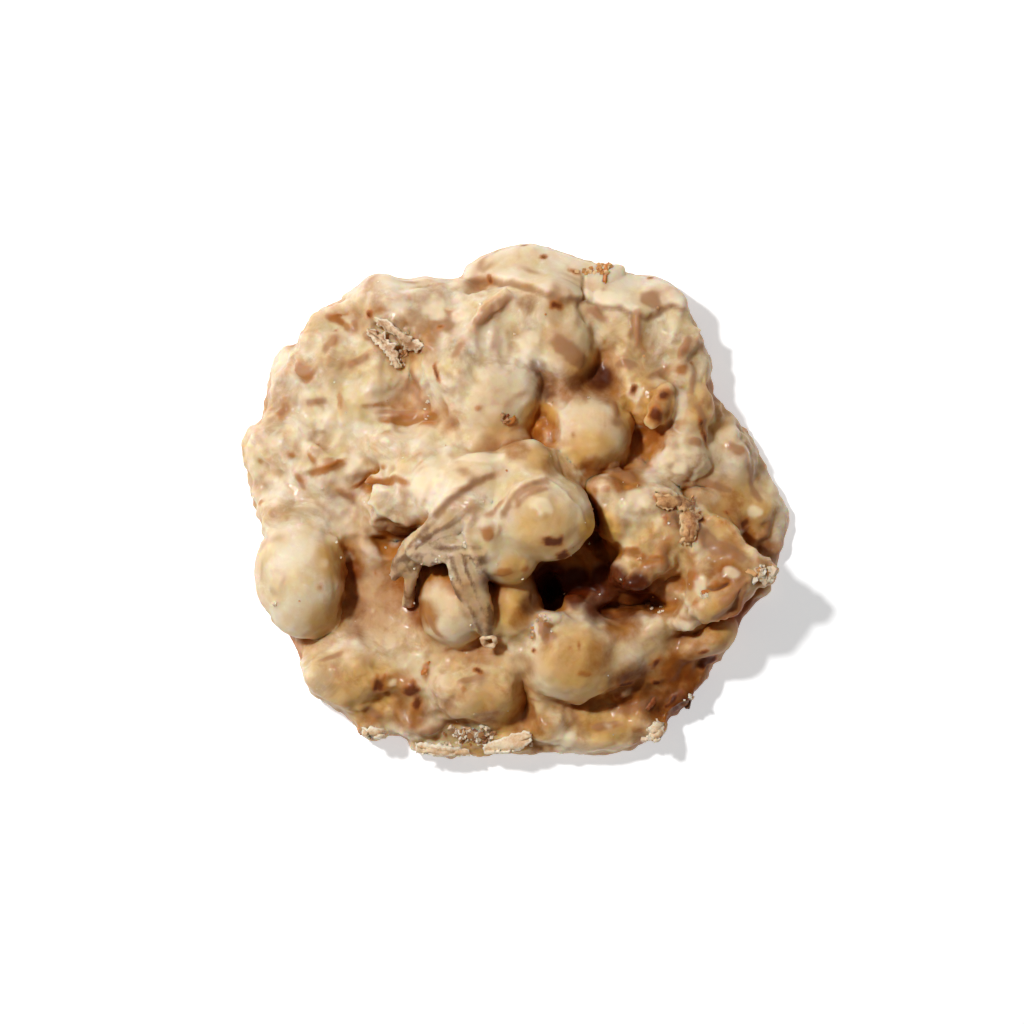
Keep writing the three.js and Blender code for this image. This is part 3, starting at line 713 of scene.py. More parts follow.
# %% Folds and cracks
# path, lift, reach on the left, tone, and the tone's half width
FOLDS = [
    # the pale plate's inner edge at the back
    ([(-9.2, 37.2), (-4.4, 37.7), (-2.7, 37.2), (-0.2, 36.7), (2.4, 35.8), (5.4, 34.6), (7, 34.5),
      (8.3, 33.8), (11.4, 34), (12.6, 33.6), (13.8, 32.8), (17, 32.6), (19.9, 31.6), (22.3, 30.9),
      (23.6, 31.7), (25, 32.8), (26.2, 33.1), (29.2, 32.4)], 0.9, 14, "strip", 0.1),
    # the edge of the lobe on the nut left of the crown, down to the curl
    ([(-14.4, -3.2), (-12.4, -1.2), (-10.6, 0.6), (-9, 1.5), (-7.4, 2.6), (-5.6, 3.9), (-3, 4.5)],
     0.8, 2.6, "strip", 0.15),
    # the streak over the saddle, and the thin skin round the crown's dome
    ([(-3, -3.3), (-1.9, -1.3), (0.3, 1.4), (3.4, 2.9), (6.1, 3.6)], 0.6, 1.8, "strip", 0.2),
    ([(12.2, -5.6), (10.5, -1.3), (8.3, 1.8), (5.6, 3.2), (1.7, 2), (-1, 0), (-3, -3.3), (-4, -6)],
     0.35, 1.2, None, 0),
    # the white lobe left of the dome
    ([(-5.8, -12.6), (-7.8, -8.6), (-8.4, -6), (-8.6, -3.4), (-7, -1.6)], -0.8, 1.6, None, 0),
    # strips that show an edge at the back left
    ([(-24, 14.2), (-19, 14.2), (-15.6, 14.4), (-12.6, 14.8)], 0.5, 2.2, "amber", 0.35),
    ([(-32.8, 31.2), (-30.8, 31.2), (-28.8, 30.2), (-27.7, 28.2)], 0.4, 1.6, "amber", 0.3),
    ([(-36, 4.9), (-33, 5.3), (-30, 6.3), (-28.2, 7.2)], 0.5, 2, "amber", 0.35),
    ([(-25.4, 5), (-23.9, 3.4), (-20.4, 3.6), (-17, 3.2)], 0.5, 1.4, "amber", 0.3),
    ([(-33, 21.6), (-35, 20.2), (-37.4, 20.4)], 0.5, 1.6, "amber", 0.4),
    ([(19.8, 32.4), (20.1, 29), (20.1, 26.4)], 0.35, 1.4, "strip", 0.4),
    # right: ridges and edges between the crown and the chunk
    ([(31.3, -3.3), (35.1, -4.2), (37.3, -8), (40.1, -9.8), (43, -10.6)], 0.7, 2, None, 0),
    ([(16.8, -8.4), (20, -8.2), (21.8, -9.8), (25.4, -9.4)], 0.5, 2, "amber", 0.5),
    ([(30.5, -20.8), (28.2, -21.2), (29.3, -17.8), (32.6, -16)], -0.6, 2.2, None, 0),
    ([(39, -12.2), (37.7, -14.3), (36.9, -16.8), (36.4, -18.6), (33.8, -20), (32.2, -22)],
     0.5, 1.6, "strip", 0.4),
    # front
    ([(30.8, -29.4), (32.5, -27), (35, -26.2)], -0.6, 1.4, "dark", 0.5),
    ([(-17, -41), (-11.2, -41.6), (-6, -40.6), (-2.7, -39.4), (2.6, -39.2), (7.5, -39.4), (14, -40.6),
      (21, -41)], -0.5, 2.5, None, 0),
]
# path, depth, half width and tone
CRACKS = [
    ([(11.4, 38.4), (11.2, 36.2), (11, 35), (11.2, 33.4)], 0.6, 0.15, "strip"),
    ([(-1.9, 29.9), (-2.3, 28.6), (-2.7, 27.3)], 0.2, 0.2, None),
    ([(31.4, -14.9), (33.4, -14.6), (35.9, -13.5)], 0.9, 0.35, "dark"),
    ([(38.9, -13.5), (37.6, -14.8), (36.9, -16.7), (36.5, -18.2), (35, -19.4)], 0.5, 0.2, "strip"),
]
print("folds", len(FOLDS), "cracks", len(CRACKS))

# %% Where points are beside a path
def beside(points, path):
    """How far each point lies along a path and to the left of it, in plan, in millimetres."""
    best = np.full(len(points), np.inf)
    along, left = np.zeros(len(points)), np.zeros(len(points))
    done = 0.0
    for start, end in zip(path, path[1:]):
        step = np.array(end, dtype=float) - start
        length = np.hypot(*step)
        away = points[:, :2] - start
        share = np.clip(away @ step / length**2, 0, 1)
        gap = np.linalg.norm(away - share[:, None] * step, axis=1)
        side = np.sign(step[0] * away[:, 1] - step[1] * away[:, 0])
        closer = gap < best
        best[closer] = gap[closer]
        along[closer] = done + share[closer] * length
        left[closer] = gap[closer] * side[closer]
        done += length
    return along, left, done


# %% What folds and cracks do to the skin
FOLD_FADE = 1.5  # millimetres over which a fold dies out at its ends
CRACK_FADE = 0.6
DEEP_BELOW = (1.0, 2.5)  # how far below the top a path loses its hold on the skin
FOLD_RISE = (-0.25, 0.3)  # how far from its path, on the left, a fold has its steep step
WANDER = [(0.35, 1.6, 4.4), (0.2, 0.6, 2.2)]


def fading(along, length, fade):
    """1 along a path, less near its two ends."""
    return soft_step(along, 0.0, fade) * (1 - soft_step(along, length - fade, length))


def folded(points, depth_below, tones):
    """The lift that folds and cracks give each point. Adds their tones to tones."""
    lift = np.zeros(len(points))
    wander = layered(points, WANDER)
    on_top_here = 1 - soft_step(depth_below, *DEEP_BELOW)
    for path, height, reach, tone, half_width in FOLDS:
        along, left, length = beside(points, path)
        left = left + wander
        ends = fading(along, length, FOLD_FADE) * on_top_here
        side = left * np.sign(height)
        step = soft_step(side, *FOLD_RISE) * (1 - soft_step(side, FOLD_RISE[1], reach))
        lift += abs(height) * step * ends
        if tone:
            strength = ends * (1 - soft_step(np.abs(left + 0.3), half_width, half_width + 0.6))
            tones[tone] = np.maximum(tones[tone], strength)
    for path, depth, half_width, tone in CRACKS:
        along, left, length = beside(points, path)
        ends = fading(along, length, CRACK_FADE) * on_top_here
        near = ends * (1 - soft_step(np.abs(left + 0.5 * wander), 0.3 * half_width, half_width + 0.25))
        lift -= depth * near
        if tone:
            tones[tone] = np.maximum(tones[tone], near)
    return lift


# %% Height of the top before the relief
CELL = 0.5  # millimetres
MAP_HALF = 60.0  # millimetres from the middle to the map's edge


def height_map():
    """The skin's height over each cell, in millimetres, and 0 beside it."""
    tree = skin_tree()
    places = np.arange(-MAP_HALF, MAP_HALF, CELL)
    heights = np.zeros((len(places), len(places)))
    for i, x in enumerate(places):
        for j, y in enumerate(places):
            spot = tree.ray_cast(Vector((x, y, SKY)) * MM, Vector((0, 0, -1)))[0]
            heights[i, j] = 0.0 if spot is None else spot.z / MM
    return heights


heights = height_map()


def cells_of(points):
    """The map's cells that the points lie in."""
    return tuple(np.round((points[:, :2].T + MAP_HALF) / CELL).astype(int))


# %% What the marks add
MARK_DEPTH = (0.96, 1.6)  # how far from the skin a mark fades out, in millimetres
# The power of a mark's outline, where 2 is an ellipse and more is squarer, and how ragged it is
OUTLINES = {"strip": (4.0, 0.3), "amber": (2.4, 0.45), "dark": (4.0, 0.45), "pale": (2.4, 0.45)}
RAGS = [(1.0, 0.9, 3.1), (0.6, 2.2, 8.1)]
HALO = (0.9, 1.9)  # where the halo starts and ends, as shares of the mark's size
FARTHEST = 0.8  # how far from its middle a mark is worked out, as a share of its length and width


def marked(points):
    """The lift that the marks give each point, the strength of each tone, and the halo round the marks."""
    rags = layered(points, RAGS)
    lift, halo = np.zeros(len(points)), np.zeros(len(points))
    tones = {tone: np.zeros(len(points)) for tone in TONES}
    for tone, spot, (along, across, normal), (length, width, height), edge, amount in marks:
        away = points - spot
        farthest = FARTHEST * length + FARTHEST * width
        near = np.flatnonzero(np.einsum("ij,ij->i", away, away) < farthest**2)
        away = away[near]
        power, ragged = OUTLINES[tone]
        a = np.abs(away @ along) / (0.5 * length)
        b = np.abs(away @ across) / (0.5 * width)
        reach = (a**power + b**power) ** (1 / power) + ragged * rags[near]
        deep = 1 - soft_step(np.abs(away @ normal), *MARK_DEPTH)
        inside = (1 - soft_step(reach, *edge)) * deep
        lift[near] = np.maximum(lift[near], height * inside)
        tones[tone][near] = np.maximum(tones[tone][near], inside * amount)
        if tone != "pale":
            halo[near] = np.maximum(halo[near], (1 - soft_step(reach, *HALO)) * deep * amount)
    return lift, tones, halo


points, edges = points_of(skin), edges_of(skin)
lift, tones, halo = marked(points)
print("points in a mark", int((lift > 0).sum()), "of", len(points))

# %% Raise the skin
LUMPS = [(1.5, 6.2, 7.7), (0.8, 2.7, 1.3), (0.4, 1.2, 5.9)]
PLATE_EDGE = (-0.3, 0.3)
CALMER_PLATE, CALMER_CURL = 0.8, 0.6  # how much of the relief each takes away
NUT_FADE = (0.4, 3.0)  # clearance over which the relief fades
ON_NUT = 0.3  # the relief's share on top of a nut
RIM_FADE = (0.3, 1.4)  # heights over which it fades out towards the table
MELT_ROUNDS = 2
MELT_SHARE = 0.35  # how far a point goes to the mean of its neighbours in each round

on_nut = soft_step(clear, *NUT_FADE) * (1 - curl_share)
plate = soft_step(beside(points, FOLDS[0][0])[1], *PLATE_EDGE)
quiet = spotted(points, CALM, np.minimum, 1.0) * (1 - CALMER_PLATE * plate) * (1 - CALMER_CURL * curl_share)
below = heights[cells_of(points)] - points[:, 2]
lift = lift * (1 - 0.4 * on_nut) * (0.3 + 0.7 * quiet) + folded(points, below, tones)
relief = layered(points, LUMPS)
relief *= quiet * (1 - (1 - ON_NUT) * on_nut)
lift = (relief + lift) * soft_step(points[:, 2], *RIM_FADE)
points = points + normals_of(skin) * lift[:, None]
for _ in range(MELT_ROUNDS):
    points += MELT_SHARE * (means(points, edges) - points)
put_points(skin, points)
print("relief from", round(float(lift.min()), 2), "to", round(float(lift.max()), 2), "mm")

# %% Keep the tones on the mesh
BLEED = 2  # rounds in which a mark's colour spreads to its neighbours, and one for the dark ones

for tone, values in tones.items():
    values = values[:, None]
    for _ in range(1 if tone == "dark" else BLEED):
        values = 0.4 * values + 0.6 * means(values, edges)
    store(skin, tone, values[:, 0])
# honey and brown are partly painted shade, deep is painted shade only
for name, spots in (("honey_and_shade", HONEY_AND_SHADE_SPOTS), ("brown", BROWN_AND_SHADE_SPOTS), ("deep", DEEP_SHADE_SPOTS)):
    store(skin, name, spotted(points, spots, np.maximum, 0.0))
for name, values in (("halo", halo), ("nut", on_nut), ("plate", plate)):
    store(skin, name, values)
print("kept on the mesh", sorted(layer.name for layer in skin.data.attributes if layer.data_type == "FLOAT"))

# %% [markdown]
# The curl is a flake that was dragged through the chocolate: its coat has fine ridges that run lengthwise.

# %% Ridges along the curl
CURL_PATHS = [
    [(-4.6, 3.2), (-6.6, 1.2), (-9, -1.1), (-11.7, -3.5), (-14.3, -5.6), (-16.8, -7.7), (-19.2, -10.3),
     (-20.8, -13.2)],
    [(-5.8, -8.2), (-9, -8.3), (-12, -8.2), (-15, -8.1), (-17.4, -8.5)],
    [(-9.4, -8.4), (-8.6, -11.8), (-7.2, -14.9), (-6, -17.8), (-5.1, -20.5), (-4.4, -23.2)],
    [(-16.4, -9.6), (-17.7, -12.6), (-18, -15.4), (-18.5, -17.9)],
]
RIDGE_WIDTH = 0.9  # millimetres
RIDGE_LENGTH = 7.0
RIDGE_HEIGHT = 0.16
STREAK_END = (-6.0, 0.0)  # y over which the streaks fade out, up the curl

points = points_of(skin)
streak = np.zeros(len(points))
closest = np.full(len(points), np.inf)
for number, path in enumerate(CURL_PATHS):
    along, left, _ = beside(points, path)
    here = np.abs(left) < closest
    closest[here] = np.abs(left)[here]
    places = np.stack([left / RIDGE_WIDTH, along / RIDGE_LENGTH, points[:, 2] / 3.0 + 10.0 * number], axis=1)
    streak[here] = waves(places[here], 1.0, 2.0)
put_points(skin, points + normals_of(skin) * (RIDGE_HEIGHT * streak * curl_share)[:, None])
store(skin, "curl", curl_share * (1 - soft_step(points[:, 1], *STREAK_END)))
store(skin, "streak", streak)
print("ridges run along", len(CURL_PATHS), "paths")

# %% [markdown]
# The underside lies flat on the table. A flat disc doesn't need thousands of squares, so they are joined
# into one face and that is cut into as few triangles as it takes.

# %% Flatten the underside
FOOT = 0.3 * MM

bm = bmesh.new()
bm.from_mesh(skin.data)
for vert in bm.verts:
    if vert.co.z < FOOT:
        vert.co.z = 0.0
flat = [face for face in bm.faces if all(vert.co.z == 0.0 for vert in face.verts)]
bmesh.ops.dissolve_faces(bm, faces=flat, use_verts=True)
underside = [face for face in bm.faces if len(face.verts) > 4]
bmesh.ops.triangulate(bm, faces=underside)
bm.to_mesh(skin.data)
bm.free()
print("faces of the skin", len(skin.data.polygons))

# %% [markdown]
# ## How open each point lies
# In a deep hollow light bounces from chocolate to chocolate and comes out warm brown. That shade is
# painted into the coat's colour: each point gets a number, how much of the sky it sees, and the less it
# sees the browner it is painted. A map of heights is read in twelve directions at growing distances, and
# the steepest rise in each is what hides the sky there.

# %% Openness and creases
LOOKS = 12
LOOK_STEPS = (0.8, 1.5, 2.6, 4.2, 6.5, 10.0)
EYE = 0.5  # how far off the skin the looking starts, in millimetres
CREASE_ROUNDS = 3
CREASE_GAIN = 1.2 / (SKIN_VOXEL / MM) ** 2  # so that the squares' size makes no difference

heights = height_map()


def openness(piece):
    start = points_of(piece) + EYE * normals_of(piece)
    seen = np.zeros(len(start))
    for look in range(LOOKS):
        turn = 2 * math.pi * look / LOOKS
        slope = np.zeros(len(start))
        for step in LOOK_STEPS:
            there = start + step * np.array([math.cos(turn), math.sin(turn), 0.0])
            slope = np.maximum(slope, (heights[cells_of(there)] - start[:, 2]) / step)
        seen += 1 - slope / np.hypot(1, slope)
    return seen / LOOKS


def creases(piece):
    """Positive in a crease and negative on a crest: about how strongly the skin bends there."""
    points, edges = points_of(piece), edges_of(piece)
    bend = np.einsum("ij,ij->i", means(points, edges) - points, normals_of(piece))[:, None]
    for _ in range(CREASE_ROUNDS):
        bend = 0.5 * (bend + means(bend, edges))
    return bend[:, 0] * CREASE_GAIN


sky_seen = openness(skin)
# the coat paints shade into the hollows that see little sky
store(skin, "open", sky_seen)
# the coat paints creases darker and crests paler from this: painted shade and light
store(skin, "crease", creases(skin))
print("least sky seen", round(float(sky_seen.min()), 2), "mean", round(float(sky_seen.mean()), 2))

# %% [markdown]
# ## Crisp pieces on the skin
# Bare wafer and broken plates have thin sharp edges that a soft skin can't show, so they are sheets of
# their own. Each is ruled between two lines that are drawn on the photo's plan. The lines give the
# outline, noise frays it, the height map lays it on the skin, and an extrusion gives it a thickness.

# %% Height of the skin anywhere
def height_at(x, y):
    """The skin's height in millimetres, from the map, blended between its cells."""
    i, j = (x + MAP_HALF) / CELL, (y + MAP_HALF) / CELL
    i0, j0 = int(i), int(j)
    a, b = i - i0, j - j0
    low = heights[i0, j0] * (1 - a) + heights[i0 + 1, j0] * a
    high = heights[i0, j0 + 1] * (1 - a) + heights[i0 + 1, j0 + 1] * a
    return low * (1 - b) + high * b


AROUND = (-0.8, 0, 0.8)  # millimetres
LEAST_REST = 1.5


def rest_at(x, y):
    """Where something stiff would rest: the mean height round a place, taken from the rim if outside it."""
    for pull in (1.0, 0.98, 0.96, 0.94, 0.92):
        near = [height_at(x * pull + dx, y * pull + dy) for dx in AROUND for dy in AROUND]
        if min(near) > LEAST_REST:
            break
    return sum(near) / len(near)


# %% A sheet ruled between two lines
TEAR_SIZE, FRAY_SIZE, BLISTER_SIZE = 0.9, 0.8, 0.9  # millimetres
FIBRE_LENGTH, FIBRE_WIDTH = 2.6, 0.5


def along_line(line, share):
    """The point at a share from 0 to 1 of a line's points."""
    place = share * (len(line) - 1)
    k = min(int(place), len(line) - 2)
    return Vector(line[k]).lerp(Vector(line[k + 1]), place - k)


def ruled_sheet(bm, edge_a, edge_b, lift, thick, jag, square, shift, blister=0.15, fibre=0.2):
    """Adds a frayed sheet. The lines are lists of x, y and a further lift, in millimetres.

    jag is how far the rim is torn, square the size of a face, and blister and fibre the height of two kinds
    of relief: round and lengthwise.
    """
    length = sum((Vector(p) - Vector(q)).length for p, q in zip(edge_a, edge_a[1:]))
    width = max((along_line(edge_a, s) - along_line(edge_b, s)).length for s in (0.1, 0.3, 0.5, 0.7, 0.9))
    rows = max(int(length / square), 3)
    columns = max(int(width / square), 2)
    part = bmesh.new()
    bmesh.ops.create_grid(part, x_segments=rows, y_segments=columns, size=0.5)
    rim = part.verts.layers.float.new("rim")
    # s runs from 0 to 1 along the lines, and t across from one to the other
    for vert in part.verts:
        s, t = vert.co.x + 0.5, vert.co.y + 0.5
        close = min(s, 1 - s, t, 1 - t) * 2
        vert[rim] = 1 - min(min(s, 1 - s) * length, min(t, 1 - t) * width, 1.0)
        tear = noise.noise(Vector((t * width / TEAR_SIZE, shift, s * 9)))
        s += jag * (1 - close) ** 3 * tear / max(length, 1)
        a = along_line(edge_a, min(max(s, 0), 1))
        b = along_line(edge_b, min(max(s, 0), 1))
        torn = noise.noise(Vector((s * length / FRAY_SIZE, round(t) * 3.0, shift)))
        fray = jag * (2 * t - 1) * torn / max(width, 1)
        spot = a.lerp(b, t + fray)
        rough = blister * noise.noise(Vector((spot.x / BLISTER_SIZE, spot.y / BLISTER_SIZE, shift)))
        rough += fibre * noise.noise(Vector((s * length / FIBRE_LENGTH, t * width / FIBRE_WIDTH, shift)))
        vert.co = Vector((spot.x, spot.y, rest_at(spot.x, spot.y) + lift + spot.z + rough)) * MM
    # up is out, and each point gets its partner that far away, nearer at the rim
    bmesh.ops.recalc_face_normals(part, faces=part.faces)
    if sum(face.normal.z for face in part.faces) < 0:
        bmesh.ops.reverse_faces(part, faces=part.faces)
    part.normal_update()
    outward = {vert: vert.normal.copy() for vert in part.verts}
    ends = {vert: vert.co + outward[vert] * thick * MM * (1 - 0.5 * vert[rim]) for vert in part.verts}
    bmesh.ops.extrude_face_region(part, geom=part.faces[:])
    for vert, end in ends.items():
        vert.co = end
    bmesh.ops.recalc_face_normals(part, faces=part.faces)
    move_into(bm, part)


def sheets(name, pairs, seed, **form):
    """One piece made of a sheet for each pair of lines."""
    bm = bmesh.new()
    for number, (edge_a, edge_b) in enumerate(pairs):
        ruled_sheet(bm, edge_a, edge_b, shift=seed + number, **form)
    piece = new_piece(name, bm)
    print(name, "faces", len(piece.data.polygons))
    return piece


# %% Plates along the front
FRONT_SHEETS = [
    ([(-17.2, -41, 0.4), (-14.3, -41.3, 0), (-11.2, -41.8, 0), (-8, -42.2, 0.2)],
     [(-17, -42.8, 0.9), (-14.3, -43.3, 0.6), (-11.2, -43.5, 0.3), (-7.8, -43.4, 0.2)]),
    ([(-5.8, -41.4, 0), (-2.7, -40.4, 0.3), (-0.2, -39.4, 0.5), (2.4, -39, 0.7)],
     [(-5.4, -42.9, 0.5), (-1.9, -42.8, 0.9), (0.9, -42.1, 1.3), (2.8, -40.7, 1.4)]),
    ([(-26.2, -38.5, 0.3), (-24.5, -38.3, 0.5), (-22.3, -38.8, 0.6)],
     [(-26, -39.8, 0.9), (-24.3, -40.3, 1.2), (-22, -40, 0.8)]),
    ([(22.4, -38.4, 0.2), (23.6, -37.6, 0.3), (25.2, -37.6, 0.2)],
     [(22.6, -40.6, 0.6), (23.8, -41, 0.9), (25.2, -39.6, 0.6)]),
]
front_plates = sheets("front_plates", FRONT_SHEETS, 11.0, lift=0.3, thick=0.5, jag=0.6, square=0.25)

# %% Frayed wafer strips
WAFER_STRIPS = [
    ([(-23.8, 31, 0.2), (-21.4, 30.4, 0.5), (-18.9, 28.2, 0.7), (-17.2, 27.4, 0.5), (-15.3, 26.2, 0.1)],
     [(-23.4, 29.8, 0.1), (-21.4, 28.6, 0.4), (-19.7, 27.4, 1), (-18.8, 25.8, 0.6), (-16.6, 24.9, 0)]),
    ([(-25.2, 29.2, 0.1), (-22.6, 28.4, 0.4), (-20.8, 26.6, 0.8), (-19.9, 24.5, 0.7), (-19.3, 22.6, 0.2)],
     [(-25.2, 28.1, 0.1), (-23.7, 26.8, 0.3), (-22.5, 25.4, 0.5), (-21.4, 23.7, 0.4), (-20.5, 22.3, 0.1)]),
]
frayed_form = {"lift": 0.3, "thick": 0.45, "jag": 1.2, "square": 0.22, "fibre": 0.35}
wafer_strips = sheets("wafer_strips", WAFER_STRIPS, 21.0, **frayed_form)

# %% Toasted wafer at the right
TOASTED_SHEETS = [
    ([(23.4, 1.2, 0.5), (25.6, 1, 0.9), (27.8, 0.8, 0.8), (29.8, 0, 0.4)],
     [(23.6, -0.8, 0.2), (25.4, -1.6, 0.5), (27.4, -1.4, 0.6), (29.2, -2, 0.3)]),
    ([(27.6, -1.8, 0.4), (27.4, -4.4, 0.5), (27.8, -7.4, 0.1)],
     [(30.8, -1.6, 0.5), (30.4, -4.6, 0.4), (29.6, -7.6, 0.1)]),
]
toasted_form = {"lift": 0.1, "thick": 0.5, "jag": 1.2, "square": 0.22, "blister": 0.5}
toasted_wafer = sheets("toasted_wafer", TOASTED_SHEETS, 31.0, **toasted_form)

# %% [markdown]
# ## Chips and crumbs
# Some toasted flakes stand out of the coat with a broken edge. Each is a chip: a little box, cut finer and
# pulled about by noise, half sunk in the skin. A crumb is so small that a box with its corners pulled about
# is enough. They are heaped where the wafer frayed. Both carry their own colour as an attribute, so one
# finish serves them all.

# %% Chips
AMBER, RUST, MAROON, TOAST = (196, 118, 48), (150, 76, 34), (92, 44, 24), (222, 172, 116)
# x, y, length, width, turn in degrees, lift in millimetres, and colour
CHIPS = [
    (-0.8, 13.3, 2.4, 1.3, 30, 0, AMBER), (-1.6, 14, 1.6, 0.8, 60, 0, RUST),
    (-29.8, 17.4, 3.6, 0.9, -82, -0.35, AMBER), (24.6, -0.2, 2.4, 1.4, -10, 0.4, TOAST),
    (31.8, -15.2, 1.9, 0.9, 10, 0, AMBER), (39.4, -12, 2.4, 1.2, -30, 0, TOAST),
    (23.4, -34, 4.6, 1.2, 48, -0.1, RUST), (29.6, -34.6, 2.2, 0.9, 20, 0, MAROON),
    (-15.4, -28, 3, 1.3, 80, -0.35, AMBER), (15.2, 38.6, 0.9, 4.2, -8, 0, AMBER),
    (23.4, 33.6, 1.6, 3.2, 10, -0.25, TOAST), (-8.4, -38.8, 2, 1.2, 20, 0.1, TOAST),
]
CHIP_SEED = 8
CHIP_CUTS = 4
CHIP_THICK = 1.2
CHIP_SINK = 0.3


def chip(bm, spot, normal, length, width, turn, lift, chip_tint, shift):
    """Adds one broken flake."""
    along = Vector((math.cos(math.radians(turn)), math.sin(math.radians(turn)), 0.0))
    along = (along - normal * along.dot(normal)).normalized()
    across = normal.cross(along)
    part = bmesh.new()
    bmesh.ops.create_cube(part, size=1.0)
    bmesh.ops.subdivide_edges(part, edges=part.edges[:], cuts=CHIP_CUTS, use_grid_fill=True)
    colour = part.verts.layers.float_color.new("tone")
    for vert in part.verts:
        place = vert.co.copy()
        rough = Vector([noise.noise(place * 2.1 + Vector((shift, 0, 7 * k))) for k in range(3)])
        place = place * (1 - 0.14 * (4 * place.length_squared)) + rough * 0.15
        flat = along * (place.x * length) + across * (place.y * width)
        vert.co = (spot + flat + normal * (place.z * CHIP_THICK + lift - CHIP_SINK)) * MM
        vert[colour] = tint(*chip_tint)
    move_into(bm, part)


bm = bmesh.new()
bm.verts.layers.float_color.new("tone")
draw = random.Random(CHIP_SEED)
top_tree = skin_tree()
for x, y, *form in CHIPS:
    chip(bm, *on_top(top_tree, x, y), *form, draw.uniform(0, 50))
chips = new_piece("chips", bm)
print("chips faces", len(chips.data.polygons))

# %% Crumbs
CRUMB_TINTS = {
    "white": [(246, 234, 214), (236, 218, 192), (228, 204, 176)],
    "toast": [(214, 160, 100), (196, 132, 72), (228, 190, 142)],
    "brown": [(168, 116, 72), (138, 88, 52), (190, 146, 104)],
}
# x, y, spread along X and Y, count, least and most size, and tone
CRUMB_HEAPS = [
    (-7.5, -39.8, 4.2, 1.5, 60, 0.3, 0.8, "white"), (-7.5, -39.9, 4, 1.5, 50, 0.3, 0.9, "brown"),
    (41.9, -12.4, 1.3, 1.3, 46, 0.4, 1.2, "white"), (41.6, -12.2, 1.3, 1.2, 24, 0.4, 1, "toast"),
    (23.7, -39.4, 1.2, 1.9, 30, 0.3, 0.9, "white"), (-24.8, -39.4, 2.2, 0.8, 20, 0.3, 0.9, "brown"),
    (-24.4, -39.2, 2.2, 0.8, 16, 0.3, 0.8, "white"), (14.6, 39.8, 1.3, 1.4, 18, 0.4, 1, "toast"),
    (12.2, 38.9, 2.4, 0.5, 20, 0.3, 0.8, "toast"), (28, -0.3, 1.6, 1.3, 8, 0.4, 0.8, "toast"),
    (24.6, -0.4, 1.3, 0.7, 6, 0.3, 0.7, "brown"), (31.6, -15.8, 0.7, 0.6, 6, 0.3, 0.7, "white"),
    (-2, 13.6, 1, 0.8, 10, 0.3, 0.8, "brown"), (-20, 23.4, 0.9, 1.2, 14, 0.3, 0.7, "white"),
    (-19, 24.6, 1, 1.4, 10, 0.3, 0.8, "brown"), (5.4, -19.6, 2.2, 0.8, 6, 0.3, 0.6, "white"),
    (2.8, -22.4, 1, 1.4, 5, 0.3, 0.7, "toast"), (23.6, -18.6, 1.8, 0.9, 5, 0.3, 0.6, "white"),
    (0, -41.2, 3, 0.8, 16, 0.3, 0.7, "white"), (-14, -41.6, 3, 0.8, 14, 0.3, 0.7, "white"),
    (-8.4, -6.9, 0.4, 0.4, 4, 0.4, 0.8, "white"), (-10.8, -12.8, 0.3, 0.3, 3, 0.3, 0.6, "white"),
    (-13, -10.2, 0.4, 0.3, 3, 0.3, 0.6, "white"), (-40.4, -17.4, 0.3, 0.3, 3, 0.4, 0.7, "white"),
    (29.8, -33.2, 0.4, 0.6, 5, 0.4, 0.9, "white"), (-15, 15.6, 0.4, 2.2, 6, 0.3, 0.6, "white"),
]
STREWN_CRUMBS = 90
STREWN_SIZES = (0.2, 0.45)
STREWN_TONES = ("white", "white", "toast")
LOWEST_HEAPED, LOWEST_STREWN = 2.0, 2.5  # millimetres over the table
CRUMB_SEED = 21


def crumb(bm, spot, size, tone, draw):
    """Adds a broken grain half sunk at a spot: a box with its corners pulled about, turned at random."""
    crumb_tint = tint(*draw.choice(CRUMB_TINTS[tone]))
    made = bmesh.ops.create_cube(bm, size=1.0)["verts"]
    colour = bm.verts.layers.float_color["tone"]
    axis = Vector([draw.gauss(0, 1) for _ in range(3)])
    turn = Matrix.Rotation(draw.uniform(0, 6.3), 3, axis)
    shape = Vector((1.0, draw.uniform(0.5, 1.0), draw.uniform(0.35, 0.8)))
    for vert in made:
        corner = vert.co * shape + Vector([draw.uniform(-0.18, 0.18) for _ in range(3)])
        vert.co = (spot + turn @ corner * size) * MM
        vert[colour] = crumb_tint


bm = bmesh.new()
bm.verts.layers.float_color.new("tone")
draw = random.Random(CRUMB_SEED)
for x, y, spread_x, spread_y, count, least, most, tone in CRUMB_HEAPS:
    for _ in range(count):
        place = x + draw.gauss(0, 0.5) * spread_x, y + draw.gauss(0, 0.5) * spread_y
        size = draw.uniform(least, most)
        spot, _ = on_top(top_tree, *place)
        if spot is not None and spot.z > LOWEST_HEAPED:
            spot.z += 0.1 * size
            crumb(bm, spot, size, tone, draw)
for _ in range(STREWN_CRUMBS):
    k = draw.randrange(len(skin.data.vertices))
    size = draw.uniform(*STREWN_SIZES)
    spot = skin.data.vertices[k].co / MM
    if spot.z > LOWEST_STREWN:
        crumb(bm, spot, size, draw.choice(STREWN_TONES), draw)
crumbs = new_piece("crumbs", bm)
print("crumbs faces", len(crumbs.data.polygons))

# %% [markdown]
# ## The open end of the curl
# The broad band of the curl ends in a small rolled ring of bare wafer. It is a circle spun once round, then
# dented.

# %% Ring
RING_PLACE = Vector((-4.5, -23.6, 14.2))
RING_RADIUS = 1.05
RING_THICK = 0.42
RING_LEAN = 38  # degrees
RING_DENT = 0.5
RING_SEGMENTS, RING_STEPS = 12, 28

